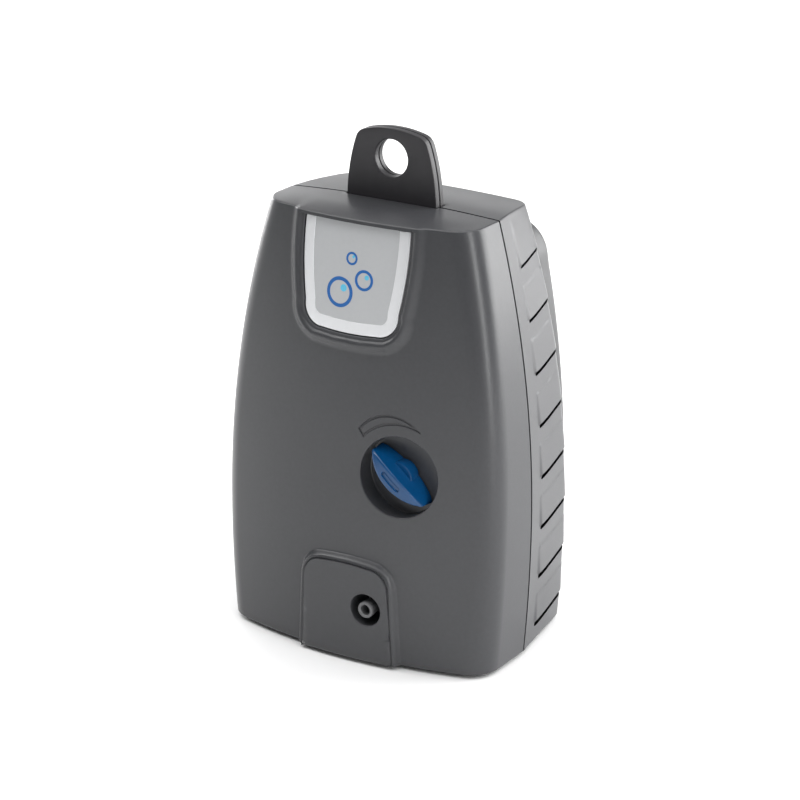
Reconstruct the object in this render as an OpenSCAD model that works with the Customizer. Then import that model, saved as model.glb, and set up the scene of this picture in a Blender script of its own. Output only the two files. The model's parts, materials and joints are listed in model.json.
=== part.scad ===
// Diaphragm air pump for an aquarium: a barrel-fronted housing in two shells, with the pump,
// its flow control and its air path inside.
// x runs to the right as seen from the front, y to the rear, z up. The origin is on the surface
// that the pump stands on, under the middle of the housing.

/* [Housing] */
// Height of the housing, without its feet and hanger
housing_h = 130; // [126:1:134]
// Half width at the widest level
half_w_max = 47; // [46:0.5:48]
// Half width at the top edge
half_w_top = 35; // [34:0.5:36]
// Half width at the underside
half_w_base = 45; // [44:0.5:46]
// Level of the widest section
widest_z = 43; // [38:1:48]
// Reach of the front face from the seam, at the underside
front_base = 28.7; // [28:0.1:30]
// Reach of the front face from the seam, halfway up
front_mid = 27.1; // [26.5:0.1:28]
// Reach of the front face from the seam, at the top
front_top = 19.4; // [19:0.1:21]
// Reach of the rear wall from the seam, at the underside
rear_base = 32.5; // [32:0.1:33.5]
// Reach of the rear wall from the seam, halfway up
rear_mid = 30.2; // [29.5:0.1:31]
// Reach of the rear wall from the seam, at the top
rear_top = 24.2; // [23.5:0.1:25]
// Radius of the bowed front, seen from above
front_bow_r = 140; // [130:5:160]
// Radius of the two upright front corners
front_corner_r = 9.1; // [8.5:0.1:10]
// Radius of the two upright rear corners
rear_corner_r = 6; // [5.5:0.5:7]
// Height of the slightly domed top over its two ends
deck_crown = 1.1; // [0.8:0.1:1.4]
// Wall of both shells
wall = 2.6; // [2.4:0.1:2.8]
// Height of the feet under the housing
foot_stand = 1; // [0.8:0.1:1.5]

/* [Flow control] */
// Centre of the knob, to the right of the middle
knob_x = 18; // [17:0.5:19]
// Level of the knob's centre
knob_z = 58; // [57:0.5:59]
// Radius of the round recess that the knob sits in
knob_recess_r = 12; // [11.8:0.1:12.4]
// Length of the knob's grip blade
blade_len = 21.8; // [20:0.2:22]
// Greatest width of the grip blade
blade_w = 5; // [4.6:0.2:6]
// Direction of the pointer at full flow, from upright, clockwise
knob_rest = -50; // [-60:5:-40]

/* [Air outlet] */
// Centre of the outlet, to the right of the middle
outlet_x = 9.5; // [8:0.5:11]
// Level of the outlet's centre
outlet_z = 16.5; // [15:0.5:18]
// Outer radius of the hose nozzle, for airline hose with a 4 mm bore
nozzle_r = 2.5; // [2.3:0.1:2.7]
// Radius of the round recess around the nozzle
outlet_recess_r = 4.85; // [4.6:0.05:5.2]

/* [Hanger] */
// Radius of the hole that hangs on a screw or hook
hanger_hole_r = 5.45; // [4.5:0.05:5.6]
// Thickness of the hanger tab
tab_t = 4.4; // [4:0.1:4.6]
// Height of the tab's top over the underside
tab_top = 152; // [150:0.5:154]

/* [Louvres] */
// Number of louvres on each side
louvres = 8; // [8:1:8]
// Distance from one louvre to the next
louvre_pitch = 15.6; // [15.4:0.1:15.7]
// Level of the lowest louvre slit
louvre_z = 5.4; // [5:0.1:6]
// How far each louvre's lip stands out from the side
louvre_lip = 0.8; // [0.5:0.1:1]

/* [Pump] */
// Level of the swing arm's pivot
pivot_z = 102; // [101:0.5:103]
// Radius of the pivot pin
pivot_r = 2; // [1.8:0.1:2.2]
// Level of the diaphragm's centre
pump_z = 78; // [77.5:0.5:78.5]
// Outer radius of the pump chamber
chamber_r = 16; // [15.6:0.1:16.2]
// Radius of the pump chamber's bore
chamber_bore_r = 12.5; // [12:0.1:12.6]
// Width of the stator's lamination stack
stack_t = 16; // [14:1:17]

/* [Hidden] */
$fn = 64;

eps = 0.01;
far = 200;               // longer than anything here, for cuts that go right through
seam_y = -5;             // the seam plane, from the middle of the pump's whole depth
seam_gap = 0.8;          // between the two shells, filled by the gasket
side_draft = 0.167;      // how much the rear shell's sides close in per millimetre of depth
cover_y = 41;            // outer face of the rear cover, upright, from the seam
shell_gap = 0.3;         // between pieces that meet but don't hold each other

// ---- Section curves of the housing. z is from the housing's underside, y from the seam ----

// A curve through a at t = 0, b at t = 0.5 and c at t = 1
function through3(a, b, c, t) = a * (1 - t) * (1 - 2 * t) + 4 * b * t * (1 - t) + c * t * (2 * t - 1);
function half_w(z) = z > widest_z
    ? half_w_max - (half_w_max - half_w_top) * pow((z - widest_z) / (housing_h - widest_z), 2)
    : half_w_max - (half_w_max - half_w_base) * pow((widest_z - z) / widest_z, 2);
function front_reach(z) = through3(front_base, front_mid, front_top, z / housing_h);
function rear_reach(z) = through3(rear_base, rear_mid, rear_top, z / housing_h);
// y of the front face at a place on it
function front_face(x, z) = front_bow_r - front_reach(z) - sqrt(pow(front_bow_r, 2) - x * x);

function arc(c, r, a0, a1, n) = [for (i = [0:n]) let (a = a0 + (a1 - a0) * i / n) c + r * [cos(a), sin(a)]];
function mirrored(points) = [for (i = [len(points) - 1:-1:0]) [-points[i][0], points[i][1]]];
function at_level(points, z) = [for (p = points) [p[0], p[1], z]];
// The points of an outline in x and z, placed at a depth y
function at_depth(points, y) = [for (p = points) [p[0], y, p[1]]];

// Front half of a section, from the right end of the seam round the front to the left end
function front_section(z, inset, open_y) =
    let (
        w = half_w(z) - inset,
        r = front_corner_r - inset,
        bow = front_bow_r - inset,
        bow_c = [0, bow - front_reach(z) + inset],
        corner = [w - r, bow_c[1] - sqrt(pow(bow - r, 2) - pow(w - r, 2))],
        turn = atan2(w - r, bow_c[1] - corner[1]),
        right = concat([[w, open_y]], arc(corner, r, 0, turn - 90, 8),
                       [for (i = [1:5]) bow_c + bow * [sin(turn * (1 - i / 6)), -cos(turn * (1 - i / 6))]])
    )
    concat(right, [bow_c + bow * [0, -1]], mirrored(right));

// Rear half of a section, from the left end of the seam round the rear to the right end.
// relief is how far the louvred stretch of the sides stands out, and undef for a plain section
function rear_section(z, inset, open_y, relief = undef) =
    let (
        w = half_w(z) - inset,
        b = rear_reach(z) - inset,
        r = rear_corner_r - inset,
        tilt = atan(side_draft),
        corner = [w - (r + (b - r) * sin(tilt)) / cos(tilt), b - r],
        lift = is_undef(relief) ? 0 : relief,
        out = lift * [cos(tilt), sin(tilt)],
        side = [for (y = is_undef(relief) ? [open_y] : [14, 8, 5.5, open_y])
                [w - side_draft * y, y] + (y > 7 ? out : [0, 0])],
        turned = [for (i = [6:-1:0]) let (a = tilt + (90 - tilt) * i / 6)
                  corner + (r + lift * max(0, 1 - i / 5)) * [cos(a), sin(a)]],
        right = concat(turned, side)
    )
    concat(mirrored(right), right);

// ---- Shared solids ----

// A closed skin over rings of equally many points, listed clockwise as seen from the last ring
module loft(rings) {
    n = len(rings[0]);
    m = len(rings);
    sides = [for (k = [0:m - 2], i = [0:n - 1]) let (j = (i + 1) % n, a = k * n, b = a + n)
             each [[a + i, a + j, b + j], [a + i, b + j, b + i]]];
    polyhedron(
        points = [for (ring = rings) each ring],
        faces = concat(sides, [[for (i = [n - 1:-1:0]) i]], [[for (i = [0:n - 1]) (m - 1) * n + i]])
    );
}

// From the seam and the housing's underside to the part's own frame
module in_frame() { translate([0, seam_y, foot_stand]) children(); }
// A cylinder or tube along x, or along y towards the rear
module along_x(x, y, z) { translate([x, y, z]) rotate([0, 90, 0]) children(); }
module along_y(x, y, z) { translate([x, y, z]) rotate([-90, 0, 0]) children(); }
// An upright outline in x and z, pushed from y0 to y1
module pushed(y0, y1) { translate([0, y1, 0]) rotate([90, 0, 0]) linear_extrude(y1 - y0) children(); }
module box(x, y, z) { translate([x[0], y[0], z[0]]) cube([x[1] - x[0], y[1] - y[0], z[1] - z[0]]); }
// A pan-head screw along -y, head towards the rear, its seat at the origin
module screw_y(r, length, head_r, head_h) {
    along_y(0, -length, 0) cylinder(r = r, h = length + eps);
    along_y(0, 0, 0) difference() {
        cylinder(r1 = head_r, r2 = head_r * 0.8, h = head_h);
        for (a = [0, 90]) rotate(a) translate([-head_r * 0.6, -0.4, head_h * 0.4]) cube([head_r * 1.2, 0.8, head_h]);
    }
}

// Everything under the domed top, whose arc springs from the two top edges
module under_dome(drop = 0) {
    r = (pow(half_w_top, 2) + pow(deck_crown, 2)) / (2 * deck_crown);
    along_y(0, -far / 2, housing_h + deck_crown - drop - r) cylinder(r = r, h = far, $fn = 400);
}

module front_solid(inset, lo, hi, open_y, n = 12) {
    loft([for (i = [0:n]) let (z = lo + (hi - lo) * i / n) at_level(front_section(z, inset, open_y), z)]);
}

// Levels and reliefs of the louvred sides: slit, lip over it, and the start of the flat band
function louvre_levels() = [for (i = [0:louvres - 1]) let (z = louvre_z + i * louvre_pitch, h = slit_h(i))
    each [[z, 0], [z + h, louvre_lip], [z + louvre_pitch - 5, i < louvres - 1 ? 0.15 : 0]]];
// Height of a slit, from the tallest at the bottom to the lowest at the top
function slit_h(i) = 1.6 - 0.1 * i;

module rear_solid(inset, lo, hi, open_y) {
    n = 10;
    loft([for (i = [0:n]) let (z = lo + (hi - lo) * i / n) at_level(rear_section(z, inset, open_y), z)]);
}
module louvred_solid(lo, hi, open_y) {
    levels = concat([[lo, 0]], louvre_levels(), [[hi, 0]]);
    loft([for (l = levels) at_level(rear_section(l[0], 0, open_y, l[1]), l[0])]);
}

// ---- Outlines on the front, in x and z ----

// An arch with its foot at z0: half widths at foot and top, level of the top, corner radius
function arch(cx, z0, foot_w, top_w, top, r) = concat(
    [[cx + foot_w, z0]], arc([cx + top_w - r, top - r], r, 0, 90, 8),
    arc([cx - top_w + r, top - r], r, 90, 180, 8), [[cx - foot_w, z0]]);

panel_x = 2.3;           // middle of the arched panel round the outlet
panel_top = 31.1;
panel_proud = 2.2;
panel_border = 1.8;
module panel_outline(inset) {
    polygon(arch(panel_x, -1, 17.8 - inset, 16 - inset, panel_top - inset, 8 - inset));
}

emblem_top = 128.8;
emblem_bottom = 97;
// Half width of the emblem at a level: it narrows towards its rounded foot
function emblem_half(z) = let (t = (housing_h - z) / 30) 17.7 + 1.7 * t - 4.5 * t * t;
module emblem_outline(grow, top = emblem_top) {
    r = 6 + grow;
    foot = emblem_half(emblem_bottom + 8) + grow;
    right = [for (z = [emblem_bottom + 8:4:top]) [emblem_half(z) + grow, z]];
    polygon(concat(
        arc([foot - r, emblem_bottom - grow + r], r, -85, -10, 6), right,
        [[emblem_half(top) + grow, top], [-emblem_half(top) - grow, top]], mirrored(right),
        arc([r - foot, emblem_bottom - grow + r], r, 190, 265, 6)));
}

// The flow mark over the knob, a wedge between two arcs: wide at full flow, pointed where it shuts
module flow_mark() {
    translate([knob_x, knob_z]) polygon(concat(
        arc([-2.75, 5.32], 12.64, 146, 43, 12), arc([0, 0], 15.2, 64.5, 139, 12)));
}

// ---- Front shell ----

knob_floor_y = front_face(knob_x, knob_z) + 4.5;
knob_seat_y = knob_floor_y + 2;                // rear of the recess, where the valve's body sits
valve_ear_y = knob_seat_y + 5;                 // tops of the two bosses that hold the valve's ears
outlet_face_y = front_face(outlet_x, outlet_z) - panel_proud;
outlet_floor_y = outlet_face_y + 10;
// Screws through both shells: two low, two high
shell_screw_at = [[-30, 10], [30, 10], [-22, 116], [22, 116]];
valve_screw_at = [[knob_x - 10.5, knob_z], [knob_x + 10.5, knob_z]];

module front_shell() color("dimgray") in_frame() difference() {
    union() {
        difference() {
            union() {
                intersection() {
                    front_solid(0, 0, housing_h + deck_crown, -seam_gap / 2);
                    under_dome();
                }
                // arched panel with a stepped border, and the bead round the emblem
                intersection() {
                    pushed(-60, -15) panel_outline(0);
                    front_solid(-panel_proud * 0.6, 0, 40, 0, 4);
                }
                intersection() {
                    pushed(-60, -15) panel_outline(panel_border);
                    front_solid(-panel_proud, 0, 40, 0, 4);
                }
                intersection() {
                    pushed(-60, -12) emblem_outline(2.6);
                    front_solid(-0.9, 90, housing_h, 0, 5);
                }
            }
            intersection() {
                front_solid(wall, wall, housing_h, 2);
                under_dome(wall);
            }
        }
        // a thicker wall behind the emblem's pocket
        difference() {
            intersection() {
                pushed(-60, -12) emblem_outline(1.5);
                front_solid(1, 92, housing_h - 3, 0, 5);
            }
            front_solid(wall + 0.8, 90, housing_h, 2, 5);
        }
        // pockets of the knob and the outlet seen from inside, and a ledge under the hanger's foot
        intersection() {
            union() {
                along_y(knob_x, -40, knob_z) cylinder(r = knob_recess_r + 2, h = 40 + knob_seat_y);
                along_y(outlet_x, -40, outlet_z) cylinder(r = outlet_recess_r + 2, h = 42 + outlet_floor_y);
                for (p = valve_screw_at) along_y(p[0], -40, p[1]) cylinder(r = 3, h = 40 + valve_ear_y);
                for (p = shell_screw_at) along_y(p[0], -40, p[1]) cylinder(r = 4, h = 40 - seam_gap / 2);
                box([-19, 19], [-40, -6], [119.5, 121.5]);
            }
            front_solid(1, 1, housing_h - 1, -seam_gap / 2);
        }
    }
    along_y(knob_x, -60, knob_z) cylinder(r = knob_recess_r, h = 60 + knob_floor_y);
    along_y(knob_x, -30, knob_z) cylinder(r = 3.4, h = 20);
    along_y(outlet_x, -60, outlet_z) cylinder(r = outlet_recess_r, h = 60 + outlet_floor_y);
    along_y(outlet_x, -30, outlet_z) cylinder(r = nozzle_r + 0.7, h = 20);
    for (p = valve_screw_at) along_y(p[0], valve_ear_y - 5.5, p[1]) cylinder(r = 1.2, h = 8);
    for (p = shell_screw_at) along_y(p[0], -12, p[1]) cylinder(r = 1.4, h = 14);
    foot_holes();
    // pocket of the emblem, and the thin flow mark
    difference() {
        pushed(-60, -10) emblem_outline(0.3);
        front_solid(1.9, 90, housing_h, 0, 5);
    }
    difference() {
        pushed(-60, -15) flow_mark();
        front_solid(0.3, 65, 85, 0, 2);
    }
    tab_slot();
}

// ---- Hanger ----

tab_y = [-1.5, -1.5 + tab_t];
module tab_outline() {
    r = 2;
    corner = [11.3, tab_top - 2.1];
    right = concat([for (t = [0:0.25:0.75]) [15 + (corner[0] - 15) * pow(t, 1.6), 122 + (corner[1] - 122) * t]],
                   arc(corner - [r, r], r, 10, 70, 3));
    polygon(concat(right, arc([0, tab_top - 36], 36, 76, 104, 8), mirrored(right)));
}
module tab_slot() { box([-15.3, 15.3], [tab_y[0] - 0.1, tab_y[1] + 0.1], [123, far]); }

module hanger_tab() color([0.22, 0.22, 0.24]) in_frame() difference() {
    union() {
        pushed(tab_y[0], tab_y[1]) tab_outline();
        box([-18, 18], [-5, 6.4], [122, 124.6]);
    }
    along_y(0, -far / 2, tab_top - 8.6) cylinder(r = hanger_hole_r, h = far);
}

// ---- Rear shell ----

// Posts that carry the pump on rubber
isolator_at = [[-33, 30], [33, 30], [-32.7, 98], [32.7, 98]];
isolator_y = 6;
gland_z = 9;
gland_r = 5;
port_z = 76;             // air port from the filter into the housing
cover_stud_at = [[-24, 101], [24, 101], [-28, 36], [28, 36]];
stud_post_y = 18.4;      // front ends of the posts that take the cover's studs

module rear_shell() color("dimgray") in_frame() difference() {
    union() {
        difference() {
            intersection() {
                louvred_solid(0, housing_h + deck_crown, seam_gap / 2);
                under_dome();
            }
            intersection() {
                rear_solid(wall, wall, housing_h, -2);
                under_dome(wall);
            }
        }
        intersection() {
            union() {
                for (p = shell_screw_at) along_y(p[0], seam_gap / 2, p[1]) cylinder(r = 5, h = 40);
                for (p = isolator_at) along_y(p[0], isolator_y + 2.5, p[1]) cylinder(r = 3.2, h = 40);
                for (p = cover_stud_at) along_y(p[0], stud_post_y, p[1]) cylinder(r = 4, h = 30);
            }
            rear_solid(1, 1, housing_h - 1, seam_gap / 2);
        }
        along_y(0, rear_reach(gland_z) - 1.5, gland_z) cylinder(r = 7.4, h = 2.1);
        box([-19, 19], [7.4, 20], [119.5, 121.5]);
    }
    for (i = [0:louvres - 1], s = [-1, 1]) {
        z = louvre_z + i * louvre_pitch;
        box([s * 40 - 12, s * 40 + 12], [8, rear_reach(z) - 3], [z, z + slit_h(i)]);
    }
    for (p = shell_screw_at) {
        along_y(p[0], -1, p[1]) cylinder(r = 1.8, h = 40);
        along_y(p[0], 7, p[1]) cylinder(r = 3.75, h = 40);
    }
    for (p = isolator_at) along_y(p[0], 5, p[1]) cylinder(r = 1.2, h = 12);
    for (p = cover_stud_at) along_y(p[0], stud_post_y + 1.6, p[1]) cylinder(r = 2.3, h = 30);
    foot_holes();
    along_y(0, 20, gland_z) cylinder(r = gland_r, h = 30);
    along_y(0, 15, port_z) cylinder(r = 5, h = 30);
    tab_slot();
}

module seam_gasket() color([0.08, 0.08, 0.09]) in_frame() difference() {
    pushed(-seam_gap / 2, seam_gap / 2) difference() {
        polygon(seam_outline(0.5));
        polygon(seam_outline(2.2));
    }
    tab_slot();
}
function seam_outline(inset) =
    let (right = [for (z = [inset:9:housing_h - inset]) [half_w(z) - inset, z]],
         top = [for (i = [0:8]) let (x = (half_w_top - inset) * (1 - i / 4))
                [x, housing_h - inset + deck_crown * (1 - pow(x / half_w_top, 2))]])
    concat(right, top, mirrored(right));

// ---- Emblem ----

module emblem_frame() color([0.88, 0.89, 0.9]) in_frame() difference() {
    intersection() {
        pushed(-60, -12) emblem_outline(0.1);
        front_solid(0.9, 90, housing_h, 0, 5);
    }
    front_solid(1.9, 90, housing_h, 0, 5);
    difference() {
        pushed(-60, -10) label_outline(0);
        front_solid(1.3, 90, housing_h, 0, 5);
    }
}
module label_outline(inset) { translate([0, 4]) emblem_outline(-3.6 - inset, emblem_top - 4); }

module emblem_label() color([0.66, 0.67, 0.69]) in_frame() difference() {
    intersection() {
        pushed(-60, -12) label_outline(0.05);
        front_solid(0.95, 90, housing_h, 0, 5);
    }
    front_solid(1.3, 90, housing_h, 0, 5);
}

// ---- Fasteners, feet and gland ----

module shell_screws() color("silver") in_frame()
    for (p = shell_screw_at) translate([p[0], 7, p[1]]) screw_y(1.35, 17, 3, 2);

foot_at = [[-32, -14], [32, -14], [-32, 21], [32, 21]];
foot_peg_r = 2;
module foot_holes() { for (p = foot_at) translate([p[0], p[1], -1]) cylinder(r = foot_peg_r + 0.1, h = wall + 2); }
module rubber_feet() color([0.15, 0.15, 0.16]) in_frame()
    for (p = foot_at) translate([p[0], p[1], -foot_stand]) {
        cylinder(r = 5, h = foot_stand);
        translate([0, 0, foot_stand - eps]) cylinder(r = foot_peg_r, h = wall + 2 * eps);
        translate([0, 0, foot_stand + wall]) cylinder(r1 = 3, r2 = 1.6, h = 1.6);
    }

module cable_gland() color([0.12, 0.12, 0.13]) in_frame() {
    y = rear_reach(gland_z);
    along_y(0, 0, gland_z) rotate_extrude() polygon([
        [3.1, y - 5], [6.4, y - 5], [6.4, y - 3.2], [gland_r, y - 2.9], [gland_r, y + 0.6],
        [6.8, y + 0.6], [6.8, y + 1.6], [5.8, y + 2.8], [4.4, y + 4.6], [3.1, y + 4.6]]);
}

// ---- Rear cover and filter ----

cover_top = 120;
cover_bottom = 17;
// The cover keeps one distance from the housing's sides, and has round ends
function cover_ring(inset) =
    let (
        r = 12 - inset,
        half = function (z) half_w(z) - 10.8 - inset,
        top = cover_top - inset,
        bottom = cover_bottom + inset,
        right = concat(
            arc([half(bottom + r) - r, bottom + r], r, -90, 0, 6),
            [for (i = [1:7]) let (z = bottom + r + (top - bottom - 2 * r) * i / 8) [half(z), z]],
            arc([half(top - r) - r, top - r], r, 8, 90, 6)))
    concat(right, mirrored(right));

module cover_solid(inset, face) {
    steps = [[15, -1], [face - 4, 0], [face - 2.4, 0.4], [face - 1.1, 1.2], [face - 0.3, 2.6], [face, 4.2]];
    loft([for (s = steps) at_depth(cover_ring(inset + s[1]), s[0])]);
}

module rear_cover() color([0.36, 0.36, 0.38]) in_frame() {
    difference() {
        cover_solid(0, cover_y);
        cover_solid(2.2, cover_y - 2.2);
        rear_solid(-shell_gap, -5, housing_h + 5, -2);
        for (i = [-3:3]) box([i * 6 - 1.3, i * 6 + 1.3], [33.5, 38], [cover_bottom - 2, cover_bottom + 4]);
    }
    // studs that push into the rear shell
    for (p = cover_stud_at) along_y(p[0], rear_reach(p[1]) - 5, p[1])
        cylinder(r = 2.15, h = cover_y - 2 - rear_reach(p[1]) + 5);
}

module filter_felt() color([0.93, 0.93, 0.9]) in_frame() difference() {
    intersection() {
        box([-22, 22], [24, 38], [46, 110]);
        translate([0, 6.5, 0]) rear_solid(0, 40, 115, -2);
    }
    rear_solid(-0.5, 30, 120, -2);
    for (p = cover_stud_at) along_y(p[0], 20, p[1]) cylinder(r = 3, h = 30);
}

// ---- Flow control ----

knob_clear = 0.4;
spindle_r = 3;
spindle_end_y = knob_floor_y + 11;
valve_end_y = knob_seat_y + 9;
port_y = knob_seat_y + 4.5;                   // the valve's ports, above and below its bore
knob_top_y = front_face(knob_x, knob_z) - 4.2;

module at_knob() { in_frame() translate([knob_x, 0, knob_z]) rotate([0, knob_rest, 0]) children(); }
// The spindle's flat, which drives the knob
module spindle_profile(grow) {
    intersection() {
        circle(r = spindle_r + grow);
        translate([-2.2 - grow, -5]) square([10, 10]);
    }
}

module flow_knob() color([0.02, 0.4, 0.68]) at_knob() difference() {
    union() {
        // grip blade: pointed at both ends and arched along its length
        intersection() {
            half = blade_len / 2;
            side_r = (pow(half, 2) + pow(blade_w / 2, 2)) / blade_w;
            arch_r = 18;
            pushed(knob_top_y - 1, knob_floor_y - knob_clear) intersection_for (s = [-1, 1])
                translate([s * (side_r - blade_w / 2), 0]) circle(r = side_r, $fn = 180);
            translate([-10, knob_top_y + arch_r, 0]) rotate([0, 90, 0]) cylinder(r = arch_r, h = 20, $fn = 180);
            along_y(0, -40, 0) cylinder(r = half, h = 40);
        }
        along_y(0, knob_floor_y - knob_clear - 3, 0) cylinder(r = 4.6, h = 3);
    }
    along_y(0, knob_floor_y - 3.2, 0) linear_extrude(5.4) spindle_profile(0);
}

module valve_spindle() color("goldenrod") at_knob() difference() {
    union() {
        along_y(0, knob_floor_y - 3.2, 0) linear_extrude(3.8) spindle_profile(0);
        along_y(0, knob_floor_y + 0.6 - eps, 0) cylinder(r = spindle_r, h = spindle_end_y - knob_floor_y - 0.6);
    }
    along_y(0, knob_seat_y + 0.8, 0) rotate_extrude() translate([2.1, 0]) square([2, 1.1]);
    // the cross hole that opens and shuts the air's way, upright at full flow
    rotate([0, -knob_rest, 0]) translate([0, port_y, -far / 2]) cylinder(r = 1.2, h = far);
}

module spindle_ring() color([0.1, 0.1, 0.1]) at_knob()
    along_y(0, knob_seat_y + 1.35, 0) rotate_extrude() translate([2.6, 0]) circle(r = 0.42, $fn = 24);

module valve_body() color([0.85, 0.85, 0.82]) in_frame() difference() {
    union() {
        along_y(knob_x, knob_seat_y, knob_z) cylinder(r = 7, h = valve_end_y - knob_seat_y);
        pushed(valve_ear_y, valve_ear_y + 2) {
            for (p = valve_screw_at) translate(p) circle(r = 3);
            translate([knob_x - 10.5, knob_z - 3]) square([21, 6]);
        }
        for (s = [-1, 1]) translate([knob_x, port_y, knob_z]) rotate([90 - 90 * s, 0, 0])
            cylinder(r = 1.9, h = 11.2);
    }
    along_y(knob_x, knob_seat_y - 1, knob_z) cylinder(r = spindle_r + 0.05, h = spindle_end_y - knob_seat_y + 1.2);
    translate([knob_x, port_y, knob_z - 15]) cylinder(r = 1.1, h = 30);
    for (p = valve_screw_at) along_y(p[0], -30, p[1]) cylinder(r = 1.3, h = 30);
}

module valve_screws() color("silver") in_frame()
    for (p = valve_screw_at) translate([p[0], valve_ear_y + 2, p[1]]) screw_y(1.15, 7, 2.4, 1.6);

// ---- Air path from the valve to the outlet ----

nozzle_tip = 0.4;                              // length of the bevel at the nozzle's mouth
flange_y = outlet_floor_y + 2.01;              // the flange that is bonded to the pocket from inside
collar_r = nozzle_r + 0.6;                     // fills the hole in the pocket's floor
module outlet_nozzle() color([0.25, 0.25, 0.27]) in_frame() difference() {
    union() {
        along_y(outlet_x, 0, outlet_z) rotate_extrude() polygon([
            [0, outlet_face_y], [nozzle_r - nozzle_tip, outlet_face_y], [nozzle_r, outlet_face_y + nozzle_tip],
            [nozzle_r, outlet_floor_y], [collar_r, outlet_floor_y], [collar_r, flange_y], [5, flange_y],
            [5, flange_y + 1.4], [nozzle_r, flange_y + 1.4],
            [nozzle_r, port_y], [0, port_y]]);
        translate([outlet_x, port_y, outlet_z - 3]) cylinder(r = nozzle_r + 0.4, h = 6);
        translate([outlet_x, port_y, outlet_z]) cylinder(r = 1.9, h = 9);
    }
    along_y(outlet_x, outlet_face_y - 1, outlet_z) cylinder(r = 1.5, h = port_y - outlet_face_y + 1);
    translate([outlet_x, port_y, outlet_z - 1.5]) cylinder(r = 1.5, h = 3.5);
    translate([outlet_x, port_y, outlet_z]) cylinder(r = 1.1, h = 12);
}

hose_r = 2.9;
hose_bore_r = 1.95;
// A bent length of rod in the xy plane, about the origin
module bent_rod(bend_r, from, to, r) {
    rotate(from) rotate_extrude(angle = to - from, $fn = 96) translate([bend_r, 0]) circle(r = r, $fn = 32);
}

outlet_low = 20;                               // where the hose starts on the nozzle
outlet_side_z = 32;                            // where it runs sideways, between two bends
outlet_bend = 3.9;
// The S-shaped run from the nozzle up to the valve, at radius r
module outlet_run(r, over) {
    first = outlet_side_z - outlet_bend;
    second = outlet_side_z + outlet_bend;
    translate([outlet_x, port_y, outlet_low - over]) cylinder(r = r, h = first - outlet_low + over);
    translate([outlet_x + outlet_bend, port_y, first]) rotate([90, 0, 0]) bent_rod(outlet_bend, 90, 180, r);
    along_x(outlet_x + outlet_bend, port_y, outlet_side_z) cylinder(r = r, h = knob_x - outlet_x - 2 * outlet_bend);
    translate([knob_x - outlet_bend, port_y, second]) rotate([90, 0, 0]) bent_rod(outlet_bend, -90, 0, r);
    translate([knob_x, port_y, second]) cylinder(r = r, h = knob_z - 7.4 - second + over);
}
module outlet_hose() color([0.8, 0.82, 0.8]) in_frame() difference() {
    outlet_run(hose_r, 0);
    outlet_run(hose_bore_r, 1);
}

cap_port_z = pump_z - 4;
supply_bend = 4.6;
// The elbow from the valve up and back to the pump chamber's cap, at radius r
module supply_run(r, over) {
    low = knob_z + 7.4 - over;
    bend_z = cap_port_z - supply_bend;
    translate([knob_x, port_y, low]) cylinder(r = r, h = bend_z - low);
    translate([knob_x, port_y + supply_bend, bend_z]) rotate([90, 0, 90]) bent_rod(supply_bend, 90, 180, r);
    along_y(knob_x, port_y + supply_bend, cap_port_z)
        cylinder(r = r, h = cap_port_y - port_y - supply_bend + over);
}
module supply_hose() color([0.8, 0.82, 0.8]) in_frame() difference() {
    supply_run(hose_r, 0);
    supply_run(hose_bore_r, 1);
}

// ---- Pump frame and its rubber mounts ----

pump_y = 6;                                    // middle plane of the pump
frame_half_w = 28.5;
frame_y = [pump_y - 12, pump_y + 12];
frame_z = [16, 110.5];
frame_t = 2.5;
plate_x = [4.5, 6];                            // web that clamps the diaphragm's rim
shelf_z = [60, 96];
cap_port_y = pump_y - chamber_r - 0.1;
chamber_x = [7.2, 14];
valve_x = [14, 16];
cap_x = [16, 23];

module chamber_bolt_holes(r) {
    for (a = [45:90:315]) along_x(0, pump_y + 14.3 * cos(a), pump_z + 14.3 * sin(a)) cylinder(r = r, h = 40);
}

module pump_frame() color([0.9, 0.9, 0.88]) in_frame() difference() {
    union() {
        difference() {
            box([-frame_half_w, frame_half_w], frame_y, frame_z);
            box([-frame_half_w + frame_t, frame_half_w - frame_t], [-far, far],
                [frame_z[0] + frame_t, frame_z[1] - frame_t]);
        }
        difference() {
            box([plate_x[0], frame_half_w], [frame_y[0] - 3, frame_y[1] + 3], [shelf_z[0], shelf_z[1]]);
            box([plate_x[1], frame_half_w - frame_t], [-far, far], [shelf_z[0] + 1.6, shelf_z[1] - 1.6]);
            along_x(0, pump_y, pump_z) cylinder(r = chamber_bore_r, h = 10);
        }
        for (y = [frame_y[0], frame_y[1] - 3]) hull() {
            along_y(0, y, pivot_z) cylinder(r = 5, h = 3, $fn = 32);
            box([-7, 7], [y, y + 3], [frame_z[1] - 2, frame_z[1] - 1]);
        }
        for (p = isolator_at) let (s = sign(p[0])) pushed(isolator_y - 1.25, isolator_y + 1.25)
            polygon([[s * (frame_half_w - 1), p[1] - 8], [p[0], p[1] - 5], [p[0] + s * 4.5, p[1] - 3],
                     [p[0] + s * 4.5, p[1] + 3], [p[0], p[1] + 5], [s * (frame_half_w - 1), p[1] + 8]]);
    }
    along_y(0, -far / 2, pivot_z) cylinder(r = pivot_r, h = far);
    for (p = isolator_at) along_y(p[0], -far / 2, p[1]) cylinder(r = 2.6, h = far);
    for (s = [-1, 1]) translate([s * 18.5, pump_y, 0]) cylinder(r = 1.7, h = 40);
    chamber_bolt_holes(1.05);
    // way through for the air to the chamber's top
    translate([20, pump_y, 90]) cylinder(r = 3, h = 30);
}

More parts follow.
